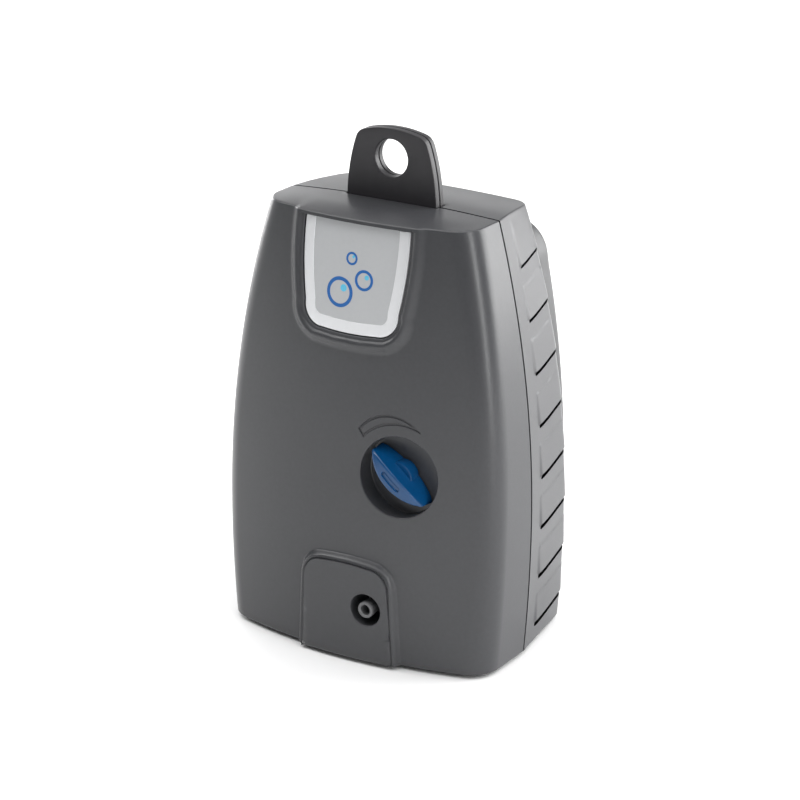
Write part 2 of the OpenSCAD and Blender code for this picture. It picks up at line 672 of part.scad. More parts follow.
module isolator_grommets() color([0.12, 0.12, 0.13]) in_frame()
    for (p = isolator_at) along_y(p[0], isolator_y, p[1]) rotate_extrude() polygon([
        [1.7, -2.4], [4, -2.4], [4, -1.25], [2.6, -1.25], [2.6, 1.25], [4, 1.25], [4, 2.5], [1.7, 2.5]]);

module isolator_screws() color("silver") in_frame()
    for (p = isolator_at) translate([p[0], isolator_y - 2.4, p[1]]) mirror([0, 1, 0]) screw_y(1.15, 12, 3, 1.8);

// ---- Stator ----

core_z = [18.5, 46.5];
core_half_w = 22;
leg_w = 7;
post_w = 12;
yoke_h = 7;
stack_y = [pump_y - stack_t / 2, pump_y + stack_t / 2];

module stator_core() color([0.45, 0.44, 0.43]) in_frame() difference() {
    pushed(stack_y[0], stack_y[1]) difference() {
        translate([-core_half_w, core_z[0]]) square([2 * core_half_w, core_z[1] - core_z[0]]);
        for (s = [-1, 1]) {
            mid = s * (post_w / 2 + core_half_w - leg_w) / 2;
            w = core_half_w - leg_w - post_w / 2;
            translate([mid - w / 2, core_z[0] + yoke_h]) square([w, far]);
        }
    }
    for (s = [-1, 1]) translate([s * 18.5, pump_y, 0]) cylinder(r = 1.7, h = 60);
}

module core_bolts() color("silver") in_frame()
    for (s = [-1, 1]) translate([s * 18.5, pump_y, 0]) {
        translate([0, 0, frame_z[0] - 1.6]) cylinder(r = 3, h = 1.6);
        translate([0, 0, frame_z[0] - eps]) cylinder(r = 1.6, h = core_z[1] - frame_z[0] + 1);
        translate([0, 0, core_z[1]]) cylinder(r = 2.9, h = 2.2, $fn = 6);
    }

bobbin_z = [core_z[0] + yoke_h + 0.2, core_z[1] - 0.4];
module around_post(out, z0, z1) {
    box([-post_w / 2 - out, post_w / 2 + out], [stack_y[0] - out, stack_y[1] + out], [z0, z1]);
}
module coil_bobbin() color([0.15, 0.15, 0.17]) in_frame() difference() {
    union() {
        around_post(1.2, bobbin_z[0], bobbin_z[1]);
        for (z = [bobbin_z[0], bobbin_z[1] - 1]) around_post(8.6, z, z + 1);
    }
    around_post(0.1, 0, 60);
}
module coil_winding() color([0.72, 0.4, 0.2]) in_frame() difference() {
    around_post(7.8, bobbin_z[0] + 1, bobbin_z[1] - 1);
    around_post(1.2, 0, 60);
}

lead_y = stack_y[0] - 6;
terminal_top = 11;
module coil_leads() color([0.6, 0.1, 0.1]) in_frame()
    for (s = [-1, 1]) translate([s * 3, lead_y, terminal_top - 4]) cylinder(r = 0.8, h = bobbin_z[0] - terminal_top + 4);

module terminal_block() color([0.92, 0.92, 0.9]) in_frame() difference() {
    box([-9, 9], [lead_y - 5, lead_y + 5], [wall, terminal_top]);
    for (s = [-1, 1]) {
        translate([s * 3, lead_y, terminal_top - 4]) cylinder(r = 1, h = 10);
        translate([s * 3, lead_y - 3, terminal_top - 5]) cylinder(r = 1.2, h = 10);
        translate([s * 7, lead_y, 0]) cylinder(r = 0.8, h = 20);
    }
}
module terminal_screws() color("silver") in_frame()
    for (s = [-1, 1]) translate([s * 3, lead_y - 3, terminal_top - 5]) {
        cylinder(r = 1.15, h = 3);
        translate([0, 0, 3 - eps]) cylinder(r = 1.15, h = 1.2);
    }

// ---- Swing arm ----

arm_x = 2;
arm_y = [pump_y - 6, pump_y + 6];
magnet_z = [49.5, 56.5];
magnet_half_w = 12;
bush_r = 3.6;
bush_half = 8;

module swing_arm() color([0.8, 0.8, 0.78]) in_frame() difference() {
    union() {
        box([-arm_x, arm_x], arm_y, [magnet_z[1], pivot_z]);
        along_y(0, pump_y - bush_half, pivot_z) cylinder(r = 6, h = 2 * bush_half);
        along_x(0, pump_y, pump_z) cylinder(r = 4.5, h = 5);
        // carrier of the magnet
        box([-magnet_half_w - 1, magnet_half_w + 1], arm_y, [magnet_z[1], magnet_z[1] + 1.4]);
        for (s = [-1, 1]) box([s * (magnet_half_w + 0.5) - 0.5, s * (magnet_half_w + 0.5) + 0.5], arm_y,
                              [magnet_z[0] + 2, magnet_z[1] + 0.5]);
    }
    along_y(0, -far / 2, pivot_z) cylinder(r = bush_r, h = far);
    along_x(-5, pump_y, pump_z) cylinder(r = 1.25, h = 20);
}

module arm_bush() color([0.1, 0.1, 0.1]) in_frame() along_y(0, pump_y - bush_half - 0.4, pivot_z) difference() {
    cylinder(r = bush_r, h = 2 * bush_half + 0.8);
    translate([0, 0, -1]) cylinder(r = pivot_r + 0.05, h = 40);
}

module arm_magnet() color([0.3, 0.3, 0.32]) in_frame()
    box([-magnet_half_w, magnet_half_w], [pump_y - 7, pump_y + 7], magnet_z);

module pivot_pin() color("silver") in_frame() along_y(0, frame_y[0] - 0.8, pivot_z) {
    cylinder(r = pivot_r, h = frame_y[1] - frame_y[0] + 1.6);
    translate([0, 0, -1]) cylinder(r = pivot_r + 1, h = 1 + 0.8 - 0.01);
}

// ---- Diaphragm and chamber ----

module diaphragm() color([0.12, 0.12, 0.13]) in_frame() difference() {
    x0 = 6;
    x1 = chamber_x[0];
    along_x(0, pump_y, pump_z) rotate_extrude() polygon(concat(
        [[1.4, x0], [8, x0]], arc([9.9, x0], 0.7, 180, 0, 8), [[11.8, x0], [15.6, x0], [15.6, x1]],
        [[11.8, x1]], arc([9.9, x1], 1.9, 0, 180, 12), [[1.4, x1]]));
    chamber_bolt_holes(1.15);
}

module diaphragm_washers() color("silver") in_frame()
    for (x = [5, chamber_x[0]]) along_x(x, pump_y, pump_z) difference() {
        cylinder(r = 6.8, h = 1);
        translate([0, 0, -1]) cylinder(r = 1.4, h = 4);
    }

module diaphragm_screw() color("silver") in_frame() along_x(-1, pump_y, pump_z) {
    cylinder(r = 1.2, h = chamber_x[0] + 2 + eps);
    translate([0, 0, chamber_x[0] + 2]) cylinder(r = 2.6, h = 1.6);
}

module chamber_body() color([0.2, 0.2, 0.22]) in_frame() difference() {
    along_x(chamber_x[0], pump_y, pump_z) cylinder(r = chamber_r, h = chamber_x[1] - chamber_x[0]);
    along_x(0, pump_y, pump_z) cylinder(r = chamber_bore_r, h = 40);
    chamber_bolt_holes(1.05);
}

port_off = 5;                                  // the two valve ports, over and under the middle
module valve_plate() color([0.85, 0.85, 0.82]) in_frame() difference() {
    along_x(valve_x[0], pump_y, pump_z) cylinder(r = chamber_r, h = valve_x[1] - valve_x[0]);
    for (s = [-1, 1]) along_x(0, pump_y, pump_z + s * port_off) cylinder(r = 2, h = 40);
    chamber_bolt_holes(1.05);
}

flap_t = 0.6;
flap_gap = 0.05;
// A rubber flap that hangs over a port, its root at the top
module flap(x, z) { box([x, x + flap_t], [pump_y - 3.2, pump_y + 3.2], [z - 3, z + 4.2]); }
module inlet_flap() color([0.15, 0.15, 0.15]) in_frame() flap(valve_x[0] - flap_gap - flap_t, pump_z + port_off);
module outlet_flap() color([0.15, 0.15, 0.15]) in_frame() flap(valve_x[1] + flap_gap, pump_z - port_off);

module chamber_cap() color([0.2, 0.2, 0.22]) in_frame() difference() {
    union() {
        difference() {
            along_x(cap_x[0], pump_y, pump_z) cylinder(r = chamber_r, h = cap_x[1] - cap_x[0]);
            along_x(cap_x[0] - 1, pump_y, pump_z) cylinder(r = chamber_bore_r, h = cap_x[1] - cap_x[0] - 1);
        }
        box([cap_x[0], cap_x[1] - 1], [pump_y - chamber_bore_r - 1, pump_y + chamber_bore_r + 1],
            [pump_z - 0.6, pump_z + 0.6]);
        intersection() {
            along_y(knob_x, port_y + supply_bend + 0.6, cap_port_z) cylinder(r = 1.9, h = 20);
            box([0, 40], [-far, pump_y - chamber_bore_r + 1], [0, far]);
        }
    }
    along_y(knob_x, -far / 2, cap_port_z) cylinder(r = 1.1, h = far / 2 + pump_y - 8);
    translate([20, pump_y, pump_z + 5]) cylinder(r = 2, h = 30);
    chamber_bolt_holes(1.05);
}

module chamber_screws() color("silver") in_frame()
    for (a = [45:90:315]) along_x(0, pump_y + 14.3 * cos(a), pump_z + 14.3 * sin(a)) {
        translate([0, 0, plate_x[0] + 0.2]) cylinder(r = 1, h = cap_x[1] - plate_x[0]);
        translate([0, 0, cap_x[1]]) cylinder(r = 1.7, h = 1.4);
    }

front_shell();
rear_shell();
seam_gasket();
emblem_frame();
emblem_label();
hanger_tab();
shell_screws();
rubber_feet();
cable_gland();
rear_cover();
filter_felt();
flow_knob();
valve_spindle();
spindle_ring();
valve_body();
valve_screws();
outlet_nozzle();
outlet_hose();
supply_hose();
pump_frame();
isolator_grommets();
isolator_screws();
stator_core();
core_bolts();
coil_bobbin();
coil_winding();
coil_leads();
terminal_block();
terminal_screws();
swing_arm();
arm_bush();
arm_magnet();
pivot_pin();
diaphragm();
diaphragm_washers();
diaphragm_screw();
chamber_body();
valve_plate();
inlet_flap();
outlet_flap();
chamber_cap();
chamber_screws();
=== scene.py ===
"""The looks of the aquarium air pump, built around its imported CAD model.

Shapes are worked out in millimetres in the housing's own frame: x to the right as seen from the
front, y to the rear from the seam between the shells, z up from the housing's underside.
"""
import json
import math

import bmesh
import bpy
import numpy as np
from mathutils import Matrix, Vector
from mathutils.geometry import delaunay_2d_cdt


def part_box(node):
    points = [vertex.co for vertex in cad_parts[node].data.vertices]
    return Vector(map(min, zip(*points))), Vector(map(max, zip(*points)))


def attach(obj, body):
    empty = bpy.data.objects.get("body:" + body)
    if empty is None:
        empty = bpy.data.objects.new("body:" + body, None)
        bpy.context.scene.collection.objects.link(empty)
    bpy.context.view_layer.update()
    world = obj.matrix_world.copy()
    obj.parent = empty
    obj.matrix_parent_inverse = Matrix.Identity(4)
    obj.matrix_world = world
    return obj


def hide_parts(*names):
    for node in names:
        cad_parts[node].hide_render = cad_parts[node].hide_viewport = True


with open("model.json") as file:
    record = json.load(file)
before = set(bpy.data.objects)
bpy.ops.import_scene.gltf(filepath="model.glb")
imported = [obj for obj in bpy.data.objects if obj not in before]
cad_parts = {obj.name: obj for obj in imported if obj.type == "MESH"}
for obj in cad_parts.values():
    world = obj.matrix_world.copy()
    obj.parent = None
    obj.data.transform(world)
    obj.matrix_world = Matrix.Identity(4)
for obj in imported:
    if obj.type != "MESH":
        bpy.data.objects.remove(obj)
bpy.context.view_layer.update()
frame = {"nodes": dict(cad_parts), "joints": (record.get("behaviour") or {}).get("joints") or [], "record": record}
mounts = {m["name"]: m for m in frame["record"]["mounts"]}
joints = {j["name"]: j for j in frame["joints"]}

# ---- Places, from the frame ----

MM = 0.001
SEAM = sum(c.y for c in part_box("seam_gasket")) / 2 / MM  # y of the seam plane
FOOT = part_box("front_shell")[0].z / MM  # height of the underside
WALL_T = 2.6


def housing_point(row_point):
    """A place in the row frame, in metres, as millimetres in the housing's frame."""
    return [row_point[0] / MM, row_point[1] / MM - SEAM, row_point[2] / MM - FOOT]


KNOB_X, _, KNOB_Z = housing_point(joints["flow_turn"]["pos_m"])
OUTLET_X, _, OUTLET_Z = housing_point(mounts["air_outlet"]["pos_m"])
NOZZLE_R = mounts["air_outlet"]["dims"]["r_mm"]
HOLE_R = mounts["hanger_hole"]["dims"]["r_mm"]
_, HOLE_Y, HOLE_Z = housing_point(mounts["hanger_hole"]["pos_m"])
COVER_Y = housing_point(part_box("rear_cover")[1])[1]
HEIGHT = 130.0
HALF_W_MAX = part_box("front_shell")[1].x / MM

# ---- Section curves of the housing ----

WIDEST_Z = 43.0
HALF_W_TOP = 35.0
HALF_W_BASE = 45.0
BOW_R = 140.0
FRONT_CORNER_R = 9.1
REAR_CORNER_R = 6.0
SIDE_TILT = math.atan(0.167)
CROWN = 1.1
SEAM_HALF = (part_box("seam_gasket")[1].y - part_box("seam_gasket")[0].y) / 2 / MM


def through3(a, b, c, t):
    """A curve through a at t = 0, b at t = 0.5 and c at t = 1."""
    return a * (1 - t) * (1 - 2 * t) + 4 * b * t * (1 - t) + c * t * (2 * t - 1)


def half_w(z):
    if z > WIDEST_Z:
        return HALF_W_MAX - (HALF_W_MAX - HALF_W_TOP) * ((z - WIDEST_Z) / (HEIGHT - WIDEST_Z)) ** 2
    return HALF_W_MAX - (HALF_W_MAX - HALF_W_BASE) * ((WIDEST_Z - z) / WIDEST_Z) ** 2


def front_reach(z):
    return through3(28.7, 27.1, 19.4, z / HEIGHT)


def rear_reach(z):
    return through3(32.5, 30.2, 24.2, z / HEIGHT)


def front_face(x, z):
    return BOW_R - front_reach(z) - math.sqrt(BOW_R ** 2 - x * x)


def crown(x, half=HALF_W_TOP):
    return CROWN * max(0.0, 1 - (x / half) ** 2)


def smoothstep(t):
    t = min(1.0, max(0.0, t))
    return t * t * (3 - 2 * t)


# ---- Mesh tools ----

def arc(cx, cz, r, a0, a1, n):
    """Points of an arc, its angles in degrees."""
    angles = [math.radians(a0 + (a1 - a0) * i / n) for i in range(n + 1)]
    return [(cx + r * math.cos(a), cz + r * math.sin(a)) for a in angles]


def circle(cx, cz, r, n=96):
    return arc(cx, cz, r, 0, 360 - 360 / n, n - 1)


def lathed(section, cx=0.0, cz=0.0, n=64):
    """Rings of a section of (radius, y), turned about a line along y."""
    angles = [2 * math.pi * k / n for k in range(n)]
    return [[(cx + r * math.cos(a), y, cz + r * math.sin(a)) for a in angles] for r, y in section]


def mirrored(points):
    return [(-x, z) for x, z in reversed(points)]


def resampled(points, step, closed=True):
    """The same outline, with its long stretches cut into pieces of at most step."""
    out = []
    count = len(points)
    for i in range(count if closed else count - 1):
        a, b = Vector(points[i]), Vector(points[(i + 1) % count])
        pieces = max(1, math.ceil((b - a).length / step))
        out += [tuple(a.lerp(b, k / pieces)) for k in range(pieces)]
    return out if closed else out + [tuple(points[-1])]


def clipped(points, low, high):
    """The stretch of an open outline between two levels, cut exactly at them."""
    out = []
    for (x0, z0), (x1, z1) in zip(points, points[1:]):
        for level in (low, high):
            if (z0 - level) * (z1 - level) < 0:
                out.append((x0 + (x1 - x0) * (level - z0) / (z1 - z0), level))
        if low < z1 < high:
            out.append((x1, z1))
    return out


def offset(points, d, closed=True):
    """An outline that runs anticlockwise, moved outwards by d with mitred corners."""
    count = len(points)
    out = []
    for i, p in enumerate(points):
        before = points[i - 1] if closed or i else None
        after = points[(i + 1) % count] if closed or i < count - 1 else None
        normals = []
        for a, b in ((before, p), (p, after)):
            if a is not None and b is not None:
                along = Vector((b[0] - a[0], b[1] - a[1]))
                if along.length > 1e-9:
                    along.normalize()
                    normals.append(Vector((along.y, -along.x)))
        n = sum(normals, Vector((0, 0)))
        n.normalize()
        reach = max(0.4, n.dot(normals[0]))
        out.append((p[0] + n.x * d / reach, p[1] + n.y * d / reach))
    return out


def distance(points, outline):
    """Distances of an array of points from a closed outline, negative inside it."""
    points = np.asarray(points, float)
    best = np.full(len(points), 1e9)
    inside = np.zeros(len(points), bool)
    for i in range(len(outline)):
        a = np.array(outline[i], float)
        b = np.array(outline[(i + 1) % len(outline)], float)
        ab = b - a
        rel = points - a
        t = np.clip(rel @ ab / max(1e-12, ab @ ab), 0, 1)
        best = np.minimum(best, np.hypot(*(rel - t[:, None] * ab).T))
        crosses = (a[1] > points[:, 1]) != (b[1] > points[:, 1])
        with np.errstate(divide="ignore", invalid="ignore"):
            x_at = a[0] + (points[:, 1] - a[1]) * ab[0] / ab[1]
        inside ^= crosses & (points[:, 0] < x_at)
    return np.where(inside, -best, best)


def inner_grid(outline, step, margin):
    """Grid points that lie inside an outline by more than a margin."""
    xs, zs = zip(*outline)
    grid = np.array([(x, z) for x in spread(min(xs), max(xs), max(2, int((max(xs) - min(xs)) / step)))
                     for z in spread(min(zs), max(zs), max(2, int((max(zs) - min(zs)) / step)))])
    return [tuple(p) for p in grid[distance(grid, outline) < -margin]]


class Sheet:
    """Points and lines on a flat domain, triangulated so that every line stays an edge."""

    def __init__(self):
        self.points = []
        self.edges = []

    def line(self, points, closed=True):
        first = len(self.points)
        self.points += [tuple(p) for p in points]
        count = len(points)
        self.edges += [(first + i, first + i + 1) for i in range(count - 1)]
        if closed:
            self.edges.append((first + count - 1, first))

    def border(self, columns, rows):
        """The rectangle round a grid, anticlockwise."""
        self.line([(d, rows[0]) for d in columns] + [(columns[-1], z) for z in rows[1:]]
                  + [(d, rows[-1]) for d in reversed(columns[:-1])]
                  + [(columns[0], z) for z in rows[-2:0:-1]])

    def fill(self, points, clear=0.5):
        """Adds loose points that aren't within clear of a line's points."""
        taken = {}
        for p in self.points:
            taken.setdefault((int(p[0] // clear), int(p[1] // clear)), []).append(p)
        for p in points:
            ci, cj = int(p[0] // clear), int(p[1] // clear)
            near = [q for i in (-1, 0, 1) for j in (-1, 0, 1) for q in taken.get((ci + i, cj + j), [])]
            if all(math.dist(p, q) > clear for q in near):
                self.points.append(tuple(p))

    def triangles(self, keep=None):
        verts, _, faces, _, _, _ = delaunay_2d_cdt(
            [Vector(p) for p in self.points], self.edges, [], 0, 1e-5)
        faces = [list(f) for f in faces]
        verts = [(v.x, v.y) for v in verts]
        if keep is not None:
            mid = [(sum(verts[i][0] for i in f) / 3, sum(verts[i][1] for i in f) / 3) for f in faces]
            kept = keep(np.array(mid))
            faces = [f for f, k in zip(faces, kept) if k]
        return verts, faces

    def inside(self, outline, step, margin, clear=None):
        """Triangles inside one of the sheet's lines, over a grid of loose points."""
        self.fill(inner_grid(outline, step, margin), clear=clear or margin)
        return self.triangles(lambda mid: distance(mid, outline) < 0)


class Shell:
    """Collects the patches of one piece and welds them where they meet."""

    def __init__(self):
        self.verts = []
        self.faces = []

    def patch(self, verts, faces):
        first = len(self.verts)
        self.verts += [tuple(v) for v in verts]
        self.faces += [[first + i for i in f] for f in faces]

    def fan(self, centre, ring):
        """Triangles from a centre to a closed ring."""
        count = len(ring)
        self.patch([centre] + list(ring), [[0, 1 + i, 1 + (i + 1) % count] for i in range(count)])

    def strips(self, rings, closed=True):
        """Quads between rings of equally many points."""
        count = len(rings[0])
        faces = []
        for k in range(len(rings) - 1):
            for i in range(count if closed else count - 1):
                j = (i + 1) % count
                a, b = k * count, (k + 1) * count
                faces.append([a + i, a + j, b + j, b + i])
        self.patch([p for ring in rings for p in ring], faces)

    def build(self, name, material, body, slot, replaces=(), place=None):
        place = place or (lambda p: p)
        bm = bmesh.new()
        made = [bm.verts.new([c * MM for c in row_point(place(p))]) for p in self.verts]
        for f in self.faces:
            corners = [made[i] for i in f]
            if len(set(corners)) > 2:
                bm.faces.new(corners)
        bmesh.ops.remove_doubles(bm, verts=bm.verts, dist=4e-6)
        bmesh.ops.dissolve_degenerate(bm, edges=bm.edges, dist=1e-7)
        bmesh.ops.recalc_face_normals(bm, faces=bm.faces)
        limit = math.radians(35)  # edges sharper than this stay sharp
        for e in bm.edges:
            e.smooth = len(e.link_faces) == 2 and e.calc_face_angle(0) < limit
        for f in bm.faces:
            f.smooth = True
        mesh = bpy.data.meshes.new(name)
        bm.to_mesh(mesh)
        bm.free()
        piece = bpy.data.objects.new(name, mesh)
        bpy.context.scene.collection.objects.link(piece)
        mesh.materials.append(material)
        weighted = piece.modifiers.new("weighted", "WEIGHTED_NORMAL")
        weighted.keep_sharp = True
        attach(piece, body)
        if replaces:
            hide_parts(*replaces)
        return piece


def row_point(p):
    """A place in the housing's frame, in the row frame, still in millimetres."""
    return p[0], p[1] + SEAM, p[2] + FOOT


def spread(a, b, n):
    return [a + (b - a) * i / n for i in range(n + 1)]


def profile(table):
    """A function that reads heights between the rows (distance, height) of a table."""
    xs, ys = zip(*table)
    return lambda d: np.interp(d, xs, ys)


def rounded_edge(loop, inward, down, r):
    """Rings that round an edge of radius r: from a loop, over to its inward side."""
    rings = []
    for k in range(5):
        a = math.pi / 2 * k / 4
        rings.append([
            [p[i] + inward[n][i] * r * (1 - math.cos(a)) + down[i] * r * math.sin(a) for i in range(3)]
            for n, p in enumerate(loop)])
    return rings


def inward_normals(loop):
    """Level unit vectors that point to the inside of an open loop seen from above."""
    out = []
    mid = [sum(p[i] for p in loop) / len(loop) for i in range(3)]
    for n, p in enumerate(loop):
        a, b = loop[max(0, n - 1)], loop[min(len(loop) - 1, n + 1)]
        v = Vector((-(b[1] - a[1]), b[0] - a[0], 0))
        v.normalize()
        if v.dot(Vector((mid[0] - p[0], mid[1] - p[1], 0))) < 0:
            v.negate()
        out.append(v)
    return out


# ---- Outlines on the front ----

EMBLEM_TOP, EMBLEM_BOTTOM = 128.8, 97.0
EMBLEM_GAP = 0.35  # between the emblem and its pocket's wall
PANEL_X, PANEL_TOP = 2.3, 31.1
PANEL_PROUD = 2.2
RECESS_R, RECESS_DEPTH = 12.0, 4.5  # the knob's pocket
OUTLET_R, OUTLET_DEPTH = 4.85, 9.9  # the nozzle's pocket
KNOB_FLOOR_Y = front_face(KNOB_X, KNOB_Z) + RECESS_DEPTH
OUTLET_FACE_Y = front_face(OUTLET_X, OUTLET_Z) - PANEL_PROUD
POCKETS = ((KNOB_X, KNOB_Z, RECESS_R, KNOB_FLOOR_Y),
           (OUTLET_X, OUTLET_Z, OUTLET_R, OUTLET_FACE_Y + OUTLET_DEPTH))


def emblem_half(z):
    t = (HEIGHT - z) / 30
    return 17.7 + 1.7 * t - 4.5 * t * t


def emblem_u(top):
    """The emblem's outline from its right top round the foot to its left top, clockwise."""
    r = 6.5
    knee = EMBLEM_BOTTOM + 8
    foot = emblem_half(knee)
    right = [(emblem_half(z), z) for z in spread(top, knee, 16)]
    foot_arc = arc(foot - r, EMBLEM_BOTTOM + r + 0.4, r, 4, -80, 10)
    low = [((foot - r) * 0.5, EMBLEM_BOTTOM + 0.12), (0, EMBLEM_BOTTOM)]
    half = right + foot_arc + low
    return half + mirrored(half)[1:]


def panel_arch(foot_z):
    """The arch of the outlet's panel, from its right foot over to its left foot, anticlockwise."""
    foot, head, r = 17.8, 16.0, 8  # half widths at foot and head, and the corners' radius
    bulge = 0.5
    right = [(PANEL_X + foot + (head - foot) * t, foot_z + (PANEL_TOP - r - foot_z) * t)
             for t in spread(0, 1, 8)[:-1]]
    corner = arc(PANEL_X + head - r, PANEL_TOP - r, r, 0, 90, 10)
    left_corner = arc(PANEL_X - head + r, PANEL_TOP - r, r, 90, 180, 10)
    across = [(PANEL_X + (head - r) * s, PANEL_TOP + bulge * (1 - s * s)) for s in spread(1, -1, 8)[1:-1]]
    left = [(2 * PANEL_X - x, z) for x, z in reversed(right)]
    return right + corner + across + left_corner + left


def flow_mark():
    """The wedge over the knob, anticlockwise: wide at full flow, pointed where it shuts."""
    outer = arc(KNOB_X - 2.75, KNOB_Z + 5.32, 12.64, 43, 146, 24)
    inner = arc(KNOB_X, KNOB_Z, 15.2, 139, 64.5, 24)
    return outer + inner


# ---- The front of the front shell ----

# Each relief is a table of distances from an outline and heights. Rings are drawn at its distances.
FACE_STEP = 0.30  # the relief's height at the emblem's outline
BEAD_FOOT = [(2.2 + 0.42 * k, 1.30 * (1 - smoothstep(k / 7)) ** 1.4) for k in range(8)]
BEAD = [(0.0, FACE_STEP), (0.12, 0.46), (0.3, 0.50), (0.75, 0.50), (0.95, 0.62), (1.3, 1.0), (1.8, 1.26)]
BEAD += BEAD_FOOT
PANEL = [(-0.5, 0.0), (-0.25, 0.05), (0.0, 0.3), (0.25, 0.95), (0.55, 1.55), (0.9, 1.92), (1.2, 2.0),
         (1.5, 1.86), (1.74, 1.62), (1.84, 1.66), (2.0, PANEL_PROUD - 0.03)]
MARK = [(-0.75, 0.16), (-0.6, 0.42), (-0.18, 0.45), (0.0, 0.0)]
bead_height, panel_height, mark_depth = profile(BEAD), profile(PANEL), profile(MARK)
POCKET_DEPTH, POCKET_WALL = 0.95, 0.08  # the emblem's pocket, and how wide its wall leans
BROW, BROW_D = 1.25, 1.8  # height over the emblem's top, and how far out it reaches
LIP_Z = 129.4  # where the top edge's rounding starts
SOLE_Z = 0.8  # where the bottom edge's rounding ends
TAB_SLOT_HALF = 15.5  # half the width of the tab's slot in the deck


def pocket_rings(r, depth):
    """Radii and depths of a round pocket: a small round edge, the wall and a filleted floor."""
    edge = 0.35
    rings = [(r + edge * (1 - math.sin(a)), edge * (1 - math.cos(a))) for a in
             (math.pi / 2 * k / 4 for k in range(5))]
    return rings + [(r - 0.06, depth - 0.4), (r - 0.12, depth - 0.14), (r - 0.4, depth)]


def front_frame(z):
    w = half_w(z)
    cy = BOW_R - front_reach(z)
    kx = w - FRONT_CORNER_R
    ky = cy - math.sqrt((BOW_R - FRONT_CORNER_R) ** 2 - kx * kx)
    turn = math.asin(kx / (BOW_R - FRONT_CORNER_R))
    return w, cy, kx, ky, turn


BOW_D, CORNER_D, SIDE_D = 40.0, 13.0, 19.0  # lengths of the three stretches on the flat domain
FRONT_END = BOW_D + CORNER_D + SIDE_D


def front_d(x, z):
    """Place on the flat domain of a point x on the bowed face."""
    return BOW_D * x / (BOW_R * math.sin(front_frame(z)[4]))


def front_point(d, z):
    """The plain surface at a place on the flat domain."""
    w, cy, kx, ky, turn = front_frame(z)
    side = math.copysign(1, d)
    a = abs(d)
    if a <= BOW_D:
        x = a / BOW_D * BOW_R * math.sin(turn)
        return [side * x, cy - math.sqrt(BOW_R ** 2 - x * x), z]
    if a <= BOW_D + CORNER_D:
        phi = turn + (a - BOW_D) / CORNER_D * (math.pi / 2 - turn)
        return [side * (kx + FRONT_CORNER_R * math.sin(phi)), ky - FRONT_CORNER_R * math.cos(phi), z]
    return [side * w, ky + (a - BOW_D - CORNER_D) / SIDE_D * (-SEAM_HALF - ky), z]


def front_heights(xz):
    """How far the bowed face stands out at each place (x, z), by its bead, panel, mark and pockets."""
    xz = np.asarray(xz, float)
    d = distance(xz, emblem_u(HEIGHT + 20)[::-1])
    h = np.where(d > 0, bead_height(d), 0.0)
    over_brow = xz[:, 1] > EMBLEM_TOP + 0.05
    h = np.where(over_brow & (d < BROW_D), BROW, h)
    h = np.where(~over_brow & (d < 1e-4), np.interp(d, [-POCKET_WALL, 0.0], [-POCKET_DEPTH, FACE_STEP]), h)
    h += panel_height(-distance(xz, panel_arch(-12.0)))
    mark = distance(xz, flow_mark())
    h -= np.where(mark < 0, mark_depth(mark), 0.0)
    return h


def pocket_y(x, z, y):
    """The two round pockets, cut level into the face at y."""
    for cx, cz, r, floor in POCKETS:
        rho = math.hypot(x - cx, z - cz)
        rings = pocket_rings(r, floor - y)
        if rho < rings[0][0]:
            radii, depths = zip(*reversed(rings))
            y += float(np.interp(rho, radii, depths))
    return y


def front_skin():
    sheet = Sheet()
    bend, end = BOW_D + CORNER_D, FRONT_END
    columns = (spread(-end, -bend, 8) + spread(-bend, -BOW_D, 16)[1:] + spread(-BOW_D, BOW_D, 60)[1:]
               + spread(BOW_D, bend, 16)[1:] + spread(bend, end, 8)[1:])
    rows = spread(SOLE_Z, LIP_Z, 92)
    sheet.border(columns, rows)

    def flat(points):
        return [(front_d(x, z), z) for x, z in points]

    base = emblem_u(HEIGHT + 3)[::-1]
    for ring, _ in BEAD[1:]:
        high = LIP_Z if ring >= BROW_D else EMBLEM_TOP
        sheet.line(flat(clipped(offset(base, ring, closed=False), SOLE_Z, high)), closed=False)
    inner = clipped(base, SOLE_Z, EMBLEM_TOP)
    sheet.line(flat(inner))
    sheet.line(flat(offset(inner, -POCKET_WALL)))
    half = emblem_half(EMBLEM_TOP) + 2.0
    for z in (EMBLEM_TOP, EMBLEM_TOP + 0.1):
        sheet.line(flat([(x, z) for x in spread(-half, half, 40)]), closed=False)
    arch = panel_arch(-6.0)
    for ring, _ in PANEL:
        sheet.line(flat(clipped(offset(arch, -ring, closed=False), SOLE_Z, LIP_Z)), closed=False)
    mark = flow_mark()
    for ring, _ in MARK:
        sheet.line(flat(resampled(offset(mark, ring), 2)))
    for cx, cz, r, floor in POCKETS:
        for radius, _ in pocket_rings(r, floor):
            sheet.line(flat(circle(cx, cz, radius)))
    sheet.fill([(d, z) for d in columns for z in rows], clear=0.62)
    verts, faces = sheet.triangles()
    plain = [front_point(d, z) for d, z in verts]
    heights = front_heights([(p[0], p[2]) for p in plain])
    bowed = [abs(d) < BOW_D - 1 for d, _ in verts]
    for p, h, on_bow in zip(plain, heights, bowed):
        if on_bow:
            p[1] = pocket_y(p[0], p[2], p[1] - h)
    return verts, faces, plain


def level_loop(verts, points, level):
    """The mesh's points on one level of the domain, in order along it."""
    on = [i for i, v in enumerate(verts) if abs(v[1] - level) < 1e-4]
    return [points[i] for i in sorted(on, key=lambda i: verts[i][0])]


